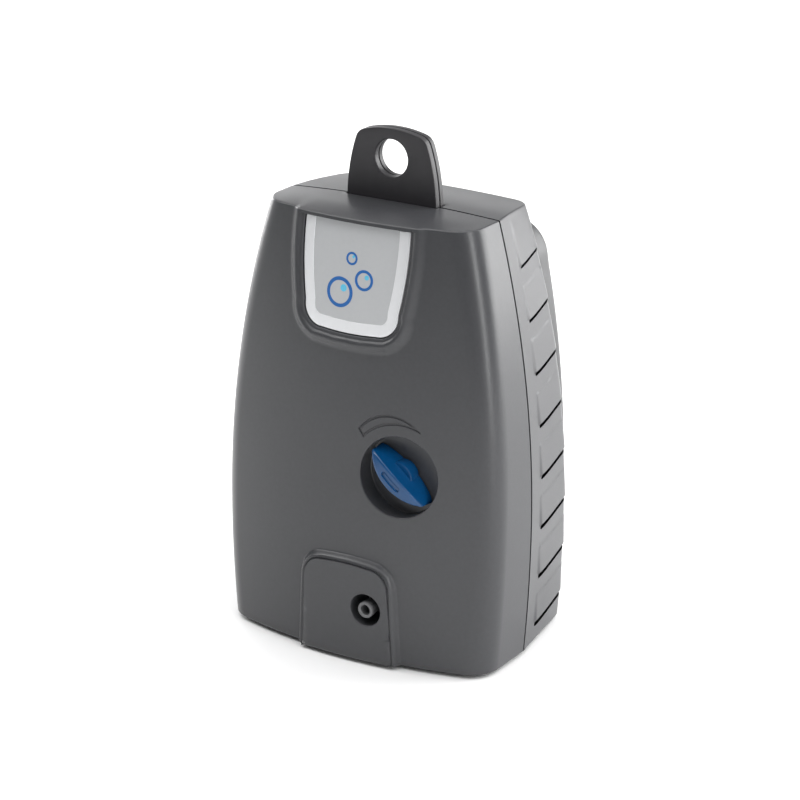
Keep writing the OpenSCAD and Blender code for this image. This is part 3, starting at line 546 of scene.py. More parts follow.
def cap(shell, loop, height, edge_y, notch=None, grid=1.6):
    """Fills a level loop whose two ends lie on the seam; height gives z at (x, y)."""
    first, last = loop[-1][0], loop[0][0]
    seam = []
    stops = spread(first, last, 44)
    half, deep = notch or (0, 0)
    if notch:
        stops = [x for x in stops if abs(x) > half + 0.3] + [-half, half]
        stops.sort(reverse=first > last)
    for x in stops[1:-1]:
        if notch and abs(abs(x) - half) < 1e-6:
            pair = [(x, edge_y), (x, deep)]
            seam += pair if (x > 0) == (first > last) else pair[::-1]
        else:
            seam.append((x, edge_y))
    outline = [(p[0], p[1]) for p in loop] + seam
    sheet = Sheet()
    sheet.line(outline)
    verts, faces = sheet.inside(outline, grid, 0.7)
    shell.patch([(x, y, height(x, y)) for x, y in verts], faces)
    return [(x, y, height(x, y)) for x, y in [outline[len(loop) - 1]] + seam + [outline[0]]]


def seam_lip(shell, edge, inward):
    """A wall along the seam that runs inwards, as thick as the shell."""
    shell.strips([edge, [[p[i] + inward[i] * WALL_T for i in range(3)] for p in edge]], closed=False)


def rounded_rim(shell, verts, points, level, down):
    """Rounds the mesh over from one of its end levels to the nearer flat end; gives the last ring."""
    loop = level_loop(verts, points, level)
    rings = rounded_edge(loop, inward_normals(loop), (0, 0, down), HEIGHT - LIP_Z if down > 0 else SOLE_Z)
    shell.strips(rings, closed=False)
    return rings[-1]


def close_shell(shell, verts, points, rim, deck, notch, edge_y, end):
    """Adds deck and sole to a half of the housing, and its walls along the seam."""
    seam_lip(shell, cap(shell, rim, deck, edge_y, notch), (0, 0, -1))
    sole = rounded_rim(shell, verts, points, SOLE_Z, -1)
    seam_lip(shell, cap(shell, sole, lambda x, y: 0.0, edge_y, grid=4), (0, 0, 1))
    for side in (-1, 1):
        edge = [p for v, p in zip(verts, points) if abs(v[0] - side * end) < 1e-4]
        edge.sort(key=lambda p: p[2])
        seam_lip(shell, edge, (-side, 0, 0))


def make_front_shell(material):
    shell = Shell()
    verts, faces, points = front_skin()
    shell.patch(points, faces)
    rim = rounded_rim(shell, verts, points, LIP_Z, 1)
    front_edge = {round(p[0], 1): p[1] for p in rim}
    xs = np.array(sorted(front_edge))
    ys = np.array([front_edge[x] for x in xs])

    slope_y = 9.5

    def deck(x, y):
        """The deck: domed along the seam, sloping to the level front edge."""
        edge = float(np.interp(x, xs, ys))
        if y > -SEAM_HALF - 1e-6 or abs(x) >= xs[-1]:
            rise = 1.0
        else:
            rise = 1 - max(0.0, 1 - max(0.0, y - edge) / slope_y) ** 1.7
        return HEIGHT + crown(x, xs[-1]) * rise

    close_shell(shell, verts, points, rim, deck, (TAB_SLOT_HALF, -1.7), -SEAM_HALF, FRONT_END)
    shell.build("front_casing", material, "housing", "housing_plastic", ["front_shell"])


# ---- Rear shell ----

LOUVRES, LOUVRE_Z, PITCH = 8, 5.0, 15.6
LOUVRE_LIP = 0.42
BAND_Z = 5  # a plain band between a louvre's end and the next slit
WALL_D, TURN_D, FLANK_D = 30.0, 9.5, 26.0  # the rear wall, corner and side on the flat domain
PANEL_FRONT_Y = 7.6  # front ends of the louvres
SLIT_END = 0.75  # how far round the corner the slits run
SLIT_T, SLIT_SLOPE = 1.3, 1.1  # the slits' own walls, and how steeply they lead down inside


def rear_frame(z):
    w = half_w(z)
    b = rear_reach(z)
    r = REAR_CORNER_R
    kx = w - (r + (b - r) * math.sin(SIDE_TILT)) / math.cos(SIDE_TILT)
    return w, b, kx, b - r


def rear_point(d, z):
    """The plain rear surface at a place on the flat domain, and its outward normal."""
    w, b, kx, ky = rear_frame(z)
    side = math.copysign(1, d)
    a = abs(d)
    if a <= WALL_D:
        return [side * a / WALL_D * kx, b, z], (0, 1)
    if a <= WALL_D + TURN_D:
        phi = math.pi / 2 - (a - WALL_D) / TURN_D * (math.pi / 2 - SIDE_TILT)
        n = (math.cos(phi), math.sin(phi))
        return [side * (kx + REAR_CORNER_R * n[0]), ky + REAR_CORNER_R * n[1], z], (side * n[0], n[1])
    n = (math.cos(SIDE_TILT), math.sin(SIDE_TILT))
    y0 = ky + REAR_CORNER_R * n[1]
    t = (a - WALL_D - TURN_D) / FLANK_D
    y = y0 + t * (SEAM_HALF - y0)
    return [side * (w - math.tan(SIDE_TILT) * y), y, z], (side * n[0], n[1])


def flank_d(y, z):
    """Place on the flat domain of a point y on the side."""
    _, _, _, ky = rear_frame(z)
    y0 = ky + REAR_CORNER_R * math.sin(SIDE_TILT)
    return WALL_D + TURN_D + FLANK_D * (y0 - y) / (y0 - SEAM_HALF)


SLIT_D = WALL_D + TURN_D * (1 - SLIT_END)  # rear end of the slits on the domain


def rise(d):
    """How far a slit has climbed by a place on the domain, in a gentle S."""
    start = WALL_D + TURN_D + FLANK_D * 0.7
    return 2.2 * smoothstep((start - abs(d)) / (start - SLIT_D))


def slit_h(i):
    return 2.1 - 0.13 * i


def louvre_relief(d, z):
    """How far a louvre stands out from the side."""
    a = abs(d)
    front = flank_d(PANEL_FRONT_Y, z)
    ramp = 1 - smoothstep((a - front + 0.5) / 1.6)
    tail = smoothstep((a - SLIT_D) / 7.5)
    level = z - rise(d)
    for i in range(LOUVRES):
        low = LOUVRE_Z + i * PITCH + slit_h(i)
        high = LOUVRE_Z + (i + 1) * PITCH - BAND_Z if i < LOUVRES - 1 else HEIGHT - 3
        if low - 1e-4 <= level <= high + 0.25:
            t = (level - low) / (high - low)
            over = LOUVRE_LIP * max(0.0, 1 - t) ** 1.25 + 0.10 * t
            fade = min(1.0, max(0.0, (high + 0.2 - level) / 0.2))
            return over * fade * ramp * tail
    return 0.0


def slit_outline(i, side):
    """A slit on the flat domain: its lower edge rearwards, then its upper edge back."""
    z0 = LOUVRE_Z + i * PITCH
    h = slit_h(i)
    d0 = flank_d(PANEL_FRONT_Y + 0.9, z0)
    stops = spread(d0, SLIT_D, 22)
    lower = [(d, z0 + rise(d)) for d in stops]
    upper = [(d, z0 + h + rise(d)) for d in stops]

    def round_end(d, way):
        return [(d + way * h / 2 * math.sin(a), z0 + h / 2 + rise(d) + way * h / 2 * math.cos(a))
                for a in (math.pi * k / 6 for k in range(1, 6))]

    points = lower + round_end(SLIT_D, -1) + upper[::-1] + round_end(d0, 1)
    return [(side * d, z) for d, z in points]


# Holes in the rear wall: x, z, radius and depth. Those deeper than OPEN_HOLE have a bottom.
OPEN_HOLE = 4
WALL_HOLES = [(0, 76, 5.0, 3.0), (0, 9, 5.0, 3.0)]
WALL_HOLES += [(s * 30, 10, 3.75, 18.0) for s in (-1, 1)] + [(s * 22, 116, 3.75, 14.0) for s in (-1, 1)]
STUDS = ((24, 101), (28, 36))  # x and z of the cover's studs on the right
WALL_HOLES += [(s * x, z, 2.3, 6.0) for s in (-1, 1) for x, z in STUDS]

DECK_FALL = 1.6  # the curve's full fall, which ends past the rear edge
DOME_Z = 100  # above it, levels follow the domed top


def deck_fall(y):
    return DECK_FALL * smoothstep((y - 4) / 30)


def rear_level(d, v):
    """Levels follow the domed top near the deck, which falls a little towards the rear."""
    p, _ = rear_point(d, v)
    top = crown(p[0]) - deck_fall(p[1])
    return v + top * max(0.0, (v - DOME_Z) / (LIP_Z - DOME_Z)) ** 2


def hole_outline(x, z, r):
    """A round hole in the rear wall, on the flat domain."""
    kx = rear_frame(z)[2]
    return [(WALL_D * px / kx, pz) for px, pz in circle(x, z, r, 40)]


def make_rear_shell(material):
    shell = Shell()
    sheet = Sheet()
    end = WALL_D + TURN_D + FLANK_D
    half = (spread(0, WALL_D, 18) + spread(WALL_D, WALL_D + TURN_D, 14)[1:]
            + spread(WALL_D + TURN_D, end, 20)[1:])
    columns = [-d for d in reversed(half[1:])] + half
    rows = spread(SOLE_Z, LIP_Z, 88)
    sheet.border(columns, rows)
    slits = [slit_outline(i, side) for i in range(LOUVRES) for side in (-1, 1)]
    for slit in slits:
        sheet.line(slit)
    for side in (-1, 1):
        for i in range(LOUVRES):
            z0 = LOUVRE_Z + i * PITCH
            start, stop = flank_d(PANEL_FRONT_Y - 1, z0), SLIT_D - 3
            stops = spread(start, stop, 30)
            if i < LOUVRES - 1:
                for dz in (PITCH - BAND_Z, PITCH - BAND_Z + 0.2):
                    sheet.line([(side * d, z0 + dz + rise(d)) for d in stops], closed=False)
            ends = (start, flank_d(PANEL_FRONT_Y + 1.3, z0))
            sheet.line([(side * d, z0 + slit_h(i) + rise(d)) for d in ends], closed=False)
        for dy in (0.0, 0.5, 1.1, 1.6):
            front = [(side * (flank_d(PANEL_FRONT_Y, z) - 0.5 + dy), z) for z in spread(6, 125, 80)]
            sheet.line(front, closed=False)
    for x, z, r, _ in WALL_HOLES:
        for ring in (r + 0.3, r + 0.08, r):
            sheet.line(hole_outline(x, z, ring))
    sheet.fill([(d, z) for d in columns for z in rows], clear=0.5)

    def keep(mid):
        kept = np.ones(len(mid), bool)
        for slit in slits:
            kept &= distance(mid, slit) > 0
        for x, z, r, _ in WALL_HOLES:
            kx = rear_frame(z)[2]
            kept &= np.hypot(mid[:, 0] * kx / WALL_D - x, mid[:, 1] - z) > r - 0.02
        return kept

    verts, faces = sheet.triangles(keep)

    def lifted(d, v):
        p, n = rear_point(d, v)
        out = louvre_relief(d, v)
        return [p[0] + n[0] * out, p[1] + n[1] * out, rear_level(d, v)]

    points = [lifted(d, v) for d, v in verts]
    shell.patch(points, faces)
    for slit in slits:
        rings = []
        for depth in (0, SLIT_T):
            pairs = [(lifted(d, v), rear_point(d, v)[1]) for d, v in slit]
            rings.append([[p[0] - n[0] * depth, p[1] - n[1] * depth, p[2] - SLIT_SLOPE * depth]
                          for p, n in pairs])
        shell.strips(rings)
    for x, z, r, depth in WALL_HOLES:
        ring = [rear_point(d, v)[0] for d, v in hole_outline(x, z, r)]
        rear = [[p[0], rear_reach(z) - depth, p[2]] for p in ring]
        shell.strips([ring, rear])
        if depth > OPEN_HOLE:
            shell.fan([x, rear[0][1], z], rear)
    rim = rounded_rim(shell, verts, points, LIP_Z, 1)
    widest = max(abs(p[0]) for p in rim)

    def deck(x, y):
        return HEIGHT + crown(x, widest) - deck_fall(y)

    close_shell(shell, verts, points, rim, deck, (TAB_SLOT_HALF, 3.2), SEAM_HALF, end)
    shell.build("rear_casing", material, "housing", "housing_plastic", ["rear_shell"])


# ---- Rear cover ----

COVER_TOP, COVER_BOTTOM = 120.0, 17.0


def narrowing_side(half, low, high, r, tilt, bend_n, side_n):
    """An outline's right side, half(z) from the middle, between its two rounded corners."""
    side = arc(half(low + r) - r, low + r, r, -90, 0, bend_n)
    side += [(half(z), z) for z in spread(low + r, high - r, side_n)[1:-1]]
    return side + arc(half(high - r) - r, high - r, r, tilt, 90, bend_n)


def cover_outline(inset):
    r = 12 - inset
    top, bottom = COVER_TOP - inset, COVER_BOTTOM + inset

    def half(z):
        return half_w(z) - 10.8 - inset

    right = narrowing_side(half, bottom, top, r, 6, 14, 40)
    top_x, bottom_x = half(top - r) - r, half(bottom + r) - r
    across_top = [(x, top) for x in spread(top_x, -top_x, 14)[1:-1]]
    across_low = [(x, bottom) for x in spread(-bottom_x, bottom_x, 16)[1:-1]]
    return right + across_top + mirrored(right) + across_low


def field_outline():
    """A sunken field on the cover's face, which narrows with the cover."""
    right = narrowing_side(lambda z: half_w(z) - 19, 34, 104, 7, 5, 8, 24)
    return right + mirrored(right)


FIELD = [(-1.3, 1.0), (-0.8, 0.93), (-0.35, 0.3), (0.0, 0.0)]
field_depth = profile(FIELD)


def make_rear_cover(material):
    shell = Shell()
    edge_r, gap, wall = 4.0, 0.3, 2.2
    inner_y = COVER_Y - 2.4
    rings = []
    for t in (0, 0.25, 0.5, 0.75):
        rings.append([(x, rear_reach(z) + gap + t * (COVER_Y - edge_r - rear_reach(z) - gap), z)
                      for x, z in cover_outline(0)])
    for k in range(9):
        a = math.pi / 2 * k / 8
        rings.append([(x, COVER_Y - edge_r * (1 - math.sin(a)), z)
                      for x, z in cover_outline(edge_r * (1 - math.cos(a)))])
    shell.strips(rings)
    inner0 = cover_outline(wall)
    inner = [[(x, rear_reach(z) + gap, z) for x, z in inner0], [(x, inner_y, z) for x, z in inner0]]
    shell.strips([rings[0], inner[0]])
    shell.strips(inner)
    sheet = Sheet()
    sheet.line([(p[0], p[2]) for p in inner[1]])
    verts, faces = sheet.triangles()
    shell.patch([(x, inner_y, z) for x, z in verts], faces)
    sheet = Sheet()
    face = [(p[0], p[2]) for p in rings[-1]]
    sheet.line(face)
    base = resampled(field_outline(), 3)
    for ring, _ in FIELD:
        sheet.line(offset(base, ring))
    levels = [45 + k * 6.5 for k in range(8)]
    rib_inset = 26
    rib_half = 2.0
    for z in levels:
        for dz in (-rib_half, -rib_half * 0.7, 0, rib_half * 0.7, rib_half):
            reach = half_w(z) - rib_inset
            sheet.line([(x, z + dz) for x in spread(-reach, reach, 20)], closed=False)
    verts, faces = sheet.inside(face, 1.6, 0.8)
    depth = field_depth(np.minimum(0, distance(verts, base)))

    def rib(x, z):
        for level in levels:
            off = abs(z - level)
            if off < rib_half:
                end = smoothstep((half_w(level) - rib_inset - abs(x)) / 2.0)
                return 0.75 * (1 - (off / rib_half) ** 2) * end
        return 0.0

    shell.patch([(x, COVER_Y - dep + rib(x, z), z) for (x, z), dep in zip(verts, depth)], faces)
    piece = shell.build("filter_cover_shell", material, "filter_cover", "cover_plastic")
    cutters = Shell()
    slot_y0, slot_y1, slot_r = 34.6, 36.9, 1.3
    for x0 in range(-18, 19, 6):
        end_arc = arc(0, 0, slot_r, 0, 180, 8)
        low = [(x0 + px, slot_y0 - pz) for px, pz in end_arc]
        high = [(x0 - px, slot_y1 + pz) for px, pz in end_arc]
        tool = [[(x, y, z) for x, y in low[::-1] + high[::-1]] for z in (COVER_BOTTOM - 2, COVER_BOTTOM + 4)]
        cutters.strips(tool)
        for ring in tool:
            cutters.fan((x0, (slot_y0 + slot_y1) / 2, ring[0][2]), ring)
    cutter = cutters.build("cover_slots_tool", material, "filter_cover", "cover_plastic")
    cut_by(piece, cutter)
    studs = Shell()
    for x, z in STUDS:
        for side in (-1, 1):
            tip, root = rear_reach(z) - 5, COVER_Y - 2.3
            section = [(0.02, tip), (1.6, tip), (2.15, tip + 0.8), (2.15, root), (0.02, root)]
            studs.strips(lathed(section, side * x, z, 32))
    studs.build("cover_studs", material, "filter_cover", "cover_plastic")
    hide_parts("rear_cover")


def cut_by(piece, cutter):
    """Cuts one closed piece with another and removes the tool."""
    order = list(piece.modifiers)
    cut = piece.modifiers.new("cut", "BOOLEAN")
    cut.operation = "DIFFERENCE"
    cut.solver = "EXACT"
    cut.object = cutter
    bpy.context.view_layer.update()
    for m in order:
        m.show_viewport = False
    evaluated = piece.evaluated_get(bpy.context.evaluated_depsgraph_get())
    mesh = bpy.data.meshes.new_from_object(evaluated)
    piece.modifiers.remove(cut)
    for m in order:
        m.show_viewport = True
    piece.data = mesh
    bpy.data.objects.remove(cutter)


# ---- Knob ----

KNOB_REST = math.radians(-50)
BLADE_HALF, BLADE_W = 10.9, 5.0
ARCH_R = 18.0
KNOB_TOP_Y = front_face(KNOB_X, KNOB_Z) - 4.2
KNOB_BASE_Y = KNOB_FLOOR_Y - 0.4


def blade_outline():
    """The grip blade seen from the front, its pointer along +z before it is turned."""
    count = 56
    points = []
    for k in range(count):
        a = 2 * math.pi * k / count
        along = BLADE_HALF * math.sin(a)
        taper = max(0.0, 1 - (along / BLADE_HALF) ** 2)
        points.append((math.copysign(BLADE_W / 2 * taper ** 0.74, math.cos(a)), along))
    return points


def knob_place(p):
    """From the knob's own upright frame to its place and turn on the housing."""
    x, y, z = p
    c, s = math.cos(KNOB_REST), math.sin(KNOB_REST)
    return KNOB_X + x * c + z * s, y, KNOB_Z - x * s + z * c


def make_knob(material):
    shell = Shell()
    outline = blade_outline()

    def crest(z):
        return KNOB_TOP_Y + ARCH_R - math.sqrt(ARCH_R ** 2 - z * z)

    edge_drop = 0.42
    edge = [(0.55, 0.0), (0.3, 0.05), (0.12, 0.17), (0.0, edge_drop)]
    rings = [[(x, crest(z) + drop, z) for x, z in offset(outline, -inset)] for inset, drop in edge]
    for t in spread(0, 1, 5)[1:]:
        flared = offset(outline, 0.9 * t ** 1.4)
        rings.append([
            (x, crest(z0) + edge_drop + t * (KNOB_BASE_Y - crest(z0) - edge_drop), z0 + (z - z0) * 0.4)
            for (x, z), (_, z0) in zip(flared, outline)])
    shell.strips(rings)
    base = rings[-1]
    shell.fan((0, KNOB_BASE_Y, 0), base)
    top = [(p[0], p[2]) for p in rings[0]]
    sheet = Sheet()
    sheet.line(top)
    pill_half, pill_r = 2.8, 0.9
    pill = arc(0, pill_half, pill_r, 0, 180, 12) + arc(0, -pill_half, pill_r, 180, 360, 12)
    dimple = [(-0.42, 0.34), (-0.3, 0.42), (-0.12, 0.40), (0.0, 0.0)]
    for ring, _ in dimple:
        sheet.line(resampled(offset(pill, ring), 0.6))
    verts, faces = sheet.inside(top, 0.4, 0.2, clear=0.22)
    sunk = profile(dimple)(np.minimum(0, distance(verts, pill)))
    shell.patch([(x, crest(z) + dep, z) for (x, z), dep in zip(verts, sunk)], faces)
    hub_r, hub_h = 4.6, 3.9
    hub = [(0, -hub_h), (hub_r - 0.5, -hub_h), (hub_r - 0.15, -hub_h + 0.15), (hub_r, -hub_h + 0.5),
           (hub_r, 0), (0, 0)]
    shell.strips(lathed([(r, KNOB_BASE_Y + y) for r, y in hub]))
    shell.build("flow_knob_grip", material, "flow_control", "knob_blue", ["flow_knob"], place=knob_place)


# ---- Hanging tab ----

TAB_TOP = 152.0


def tab_outline():
    """The tab seen from the front, anticlockwise from its right foot."""
    def side_x(z):
        return 15.2 - 3.9 * ((z - 124.5) / 25.7) ** 2.6

    def top_z(x):
        return TAB_TOP - 36 + math.sqrt(36 ** 2 - x * x)

    corner = Vector((11.35, 150.15))
    low, high = Vector((side_x(148.2), 148.2)), Vector((9.3, top_z(9.3)))
    right = [(side_x(z), z) for z in spread(124.5, 148.2, 22)[:-1]]
    for t in spread(0, 1, 8):
        p = low * (1 - t) ** 2 + corner * 2 * t * (1 - t) + high * t * t
        right.append((p.x, p.y))
    top = [(x, top_z(x)) for x in spread(9.3, -9.3, 16)[1:-1]]
    return right + top + mirrored(right)


def make_tab(material):
    shell = Shell()
    y0, y1 = HOLE_Y - 2.2, HOLE_Y + 2.2
    section = [(0.4, y0), (0.13, y0 + 0.1), (0.0, y0 + 0.35), (0.0, y0 + 1.85), (0.1, y0 + 1.95),
               (0.38, y0 + 2.0), (0.38, y0 + 2.4), (0.1, y0 + 2.45), (0.0, y0 + 2.55),
               (0.0, y1 - 0.35), (0.13, y1 - 0.1), (0.4, y1)]
    outline = tab_outline()
    foot = [(x, outline[0][1]) for x in spread(outline[-1][0], outline[0][0], 16)[1:-1]]
    outer = [[(x, y, z) for x, z in offset(outline + foot, -inset)] for inset, y in section]
    shell.strips(outer)
    hole = [[(x, y, z) for x, z in circle(0, HOLE_Z, HOLE_R + inset * (0.7 if inset > 0.2 else 1), 80)]
            for inset, y in section]
    shell.strips(hole)
    for ring in (0, -1):
        sheet = Sheet()
        out_loop = [(p[0], p[2]) for p in outer[ring]]
        hole_loop = [(p[0], p[2]) for p in hole[ring]]
        sheet.line(out_loop)
        sheet.line(hole_loop)
        sheet.fill(inner_grid(out_loop, 1.9, 0.9), clear=0.9)
        verts, faces = sheet.triangles(
            lambda mid: (distance(mid, out_loop) < 0) & (distance(mid, hole_loop) > 0))
        shell.patch([(x, outer[ring][0][1], z) for x, z in verts], faces)
    shell.build("hanging_tab", material, "housing", "hanger_rubber", ["hanger_tab"])


# ---- Emblem ----

LABEL_LEVEL = -0.12  # the label lies a little below the silver rim
RIM_W = 3.4


def emblem_edge(inset):
    """The emblem's left side, foot and right side, moved inwards, up to its straight top."""
    outline = offset(emblem_u(HEIGHT + 3)[::-1], -inset, closed=False)
    return clipped(outline, SOLE_Z, EMBLEM_TOP - EMBLEM_GAP)


def surface_plate(outline, level, edge, skirt=0.8):
    """A thin plate that follows the bowed face, level above it, with a rounded rim."""
    shell = Shell()
    outline = resampled(outline, 0.7)
    drops = [(0.0, 0.0), (edge * 0.6, edge * 0.15), (edge * 0.9, edge * 0.5), (edge, edge), (edge, skirt)]

    def at(points, down):
        return [(x, front_face(x, z) - level + down, z) for x, z in points]

    rings = [at(offset(outline, grow - edge), drop) for grow, drop in drops]
    shell.strips(rings)
    top = [(p[0], p[2]) for p in rings[0]]
    sheet = Sheet()
    sheet.line(top)
    verts, faces = sheet.inside(top, 1.6, 0.4)
    shell.patch(at(verts, 0), faces)
    return shell


def make_emblem(silver, grey, blue, pale):
    band = emblem_edge(EMBLEM_GAP) + emblem_edge(EMBLEM_GAP + RIM_W)[::-1]
    rim = surface_plate(band, 0.0, edge=0.1)
    rim.build("emblem_rim", silver, "housing", "emblem_silver", ["emblem_frame"])
    label = surface_plate(emblem_edge(EMBLEM_GAP + RIM_W - 0.06), LABEL_LEVEL, edge=0.05, skirt=0.3)
    label.build("emblem_plate", grey, "housing", "label_grey", ["emblem_label"])
    bubbles = [(-3.9, 108.6, 4.4), (3.9, 113.0, 3.0), (-0.6, 118.6, 1.9)]  # x, z and radius
    prints, glints = Shell(), Shell()
    for x, z, r in bubbles:
        add_disc(prints, x, z, r, r - 0.16 * r - 0.35)
        add_disc(glints, x + 0.28 * r, z + 0.3 * r, 0.24 * r, 0.0)
    prints.build("emblem_bubbles", blue, "housing", "knob_blue")
    glints.build("emblem_glints", pale, "housing", "label_grey")


def add_disc(shell, cx, cz, r, hole_r):
    """A printed ring or disc, a hair above the label."""
    def at(radius, lift):
        return [(x, front_face(x, z) - LABEL_LEVEL - lift, z) for x, z in circle(cx, cz, radius, 48)]

    inner = max(hole_r, 0.02)
    rings = [at(r, -0.03), at(r - 0.02, 0.03), at(inner, 0.03), at(inner - 0.01, -0.03)]
    shell.strips(rings + rings[:1])


# ---- Outlet nozzle ----

def make_nozzle(material):
    shell = Shell()
    bore = 1.5
    mouth, back = OUTLET_FACE_Y + 0.1, OUTLET_FACE_Y + 11.5
    section = [(bore, back), (bore, mouth + 0.45), (bore + 0.08, mouth + 0.18), (bore + 0.3, mouth),
               (NOZZLE_R - 0.4, mouth), (NOZZLE_R - 0.12, mouth + 0.12), (NOZZLE_R, mouth + 0.4),
               (NOZZLE_R, mouth + 2.2), (NOZZLE_R - 0.3, mouth + 2.9), (NOZZLE_R - 0.3, back)]
    shell.strips(lathed(section, OUTLET_X, OUTLET_Z))
    shell.build("hose_nozzle", material, "housing", "nozzle_plastic", ["outlet_nozzle"])


# ---- Materials ----

def new_material(name, color, roughness, metallic=0.0):
    mat = bpy.data.materials.new(name)
    mat.use_nodes = True
    shader = mat.node_tree.nodes["Principled BSDF"]
    shader.inputs["Base Color"].default_value = (*color, 1)
    shader.inputs["Roughness"].default_value = roughness
    shader.inputs["Metallic"].default_value = metallic
    return mat, mat.node_tree, shader


def noise(tree, scale, detail=3.0, roughness=0.55, stretch=None):
    coords = tree.nodes.new("ShaderNodeTexCoord")
    source = coords.outputs["Object"]
    if stretch:
        mapping = tree.nodes.new("ShaderNodeMapping")
        mapping.inputs["Scale"].default_value = stretch
        tree.links.new(source, mapping.inputs["Vector"])
        source = mapping.outputs["Vector"]
    node = tree.nodes.new("ShaderNodeTexNoise")
    node.inputs["Scale"].default_value = scale
    node.inputs["Detail"].default_value = detail
    node.inputs["Roughness"].default_value = roughness
    tree.links.new(source, node.inputs["Vector"])
    return node.outputs["Fac"]


def vary(tree, value, low, high, socket):
    """Drives a socket between low and high by a texture."""
    span = tree.nodes.new("ShaderNodeMapRange")
    span.inputs["From Min"].default_value = 0.1
    span.inputs["From Max"].default_value = 0.9
    span.inputs["To Min"].default_value = low
    span.inputs["To Max"].default_value = high
    tree.links.new(value, span.inputs["Value"])
    tree.links.new(span.outputs["Result"], socket)


def tint(tree, value, dark, light, socket):
    ramp = tree.nodes.new("ShaderNodeValToRGB")
    ramp.color_ramp.elements[0].position = 0.2
    ramp.color_ramp.elements[1].position = 0.8
    ramp.color_ramp.elements[0].color = (*dark, 1)
    ramp.color_ramp.elements[1].color = (*light, 1)
    tree.links.new(value, ramp.inputs["Fac"])
    tree.links.new(ramp.outputs["Color"], socket)


def bump(tree, shader, value, depth, strength=0.4):
    node = tree.nodes.new("ShaderNodeBump")
    node.inputs["Strength"].default_value = strength
    node.inputs["Distance"].default_value = depth
    tree.links.new(value, node.inputs["Height"])
    tree.links.new(node.outputs["Normal"], shader.inputs["Normal"])


def moulded(name, color, roughness, grain=5200, depth=0.00002, spread_by=0.06, drift=0.07, metallic=0.0):
    """Injection-moulded plastic: an even spark-eroded grain with faint drifts in its sheen."""
    mat, tree, shader = new_material(name, color, roughness, metallic)
    dark = tuple(c * (1 - drift) for c in color)
    light = tuple(min(1, c * (1 + drift)) for c in color)
    tint(tree, noise(tree, 900, 4), dark, light, shader.inputs["Base Color"])
    vary(tree, noise(tree, 38, 3), roughness - spread_by, roughness + spread_by, shader.inputs["Roughness"])
    bump(tree, shader, noise(tree, grain, 2), depth)
    return mat


def rubber(name, color, roughness):
    mat, tree, shader = new_material(name, color, roughness)
    tint(tree, noise(tree, 260, 5), tuple(c * 0.85 for c in color), tuple(c * 1.15 for c in color),
         shader.inputs["Base Color"])
    vary(tree, noise(tree, 120, 4), roughness - 0.05, roughness + 0.08, shader.inputs["Roughness"])
    bump(tree, shader, noise(tree, 3000, 4, 0.7), 0.00003, 0.5)
    return mat


def metal(name, color, roughness, stretch=(1, 1, 1), grain=2500):
    mat, tree, shader = new_material(name, color, roughness, metallic=1.0)
    sheen = noise(tree, grain, 3, stretch=stretch)
    vary(tree, sheen, roughness - 0.06, roughness + 0.1, shader.inputs["Roughness"])
    bump(tree, shader, noise(tree, grain, 3, stretch=stretch), 0.00001, 0.3)
    return mat


def felt(name, color):
    mat, tree, shader = new_material(name, color, 0.95)
    tint(tree, noise(tree, 1500, 6, 0.7), tuple(c * 0.8 for c in color), color, shader.inputs["Base Color"])
    bump(tree, shader, noise(tree, 2200, 6, 0.8), 0.0003, 0.8)
    return mat


materials = {
    "housing": moulded("housing_plastic_look", (0.044, 0.045, 0.049), 0.31),
    "cover": moulded("cover_plastic_look", (0.042, 0.043, 0.046), 0.38),
    "knob": moulded("knob_plastic_look", (0.0005, 0.052, 0.16), 0.24, grain=7000, depth=0.00001),
    "silver": moulded("silver_foil_look", (0.76, 0.77, 0.785), 0.34, grain=9000, depth=0.00001,
                      spread_by=0.02, drift=0.02, metallic=0.55),
    "label": moulded("grey_foil_look", (0.45, 0.46, 0.47), 0.42, grain=9000, depth=0.000006,
                     spread_by=0.02, drift=0.02, metallic=0.25),
    "print": moulded("print_blue_look", (0.006, 0.10, 0.34), 0.35, grain=9000, depth=0.000004),
    "glint": moulded("print_pale_look", (0.10, 0.46, 0.66), 0.35, grain=9000, depth=0.000004),
    "tab": rubber("hanger_rubber_look", (0.020, 0.019, 0.022), 0.42),
    "black_rubber": rubber("black_rubber_look", (0.018, 0.018, 0.019), 0.6),
    "nozzle": moulded("nozzle_plastic_look", (0.12, 0.12, 0.125), 0.35),
    "white": moulded("white_plastic_look", (0.72, 0.72, 0.68), 0.45),
    "black": moulded("black_plastic_look", (0.03, 0.03, 0.032), 0.45),
    "hose": moulded("hose_silicone_look", (0.62, 0.65, 0.62), 0.4),
    "felt": felt("filter_felt_look", (0.82, 0.82, 0.76)),
    "steel": metal("screw_steel_look", (0.62, 0.62, 0.63), 0.3),
    "lamination": metal("lamination_look", (0.2, 0.19, 0.18), 0.5, (1, 60, 1), 300),
    "copper": metal("copper_wire_look", (0.72, 0.32, 0.13), 0.3, (1, 1, 40), 250),
    "ferrite": moulded("magnet_ferrite_look", (0.04, 0.04, 0.042), 0.6),
    "brass": metal("spindle_brass_look", (0.75, 0.55, 0.24), 0.3),
    "lead": moulded("lead_insulation_look", (0.3, 0.02, 0.015), 0.45),
}

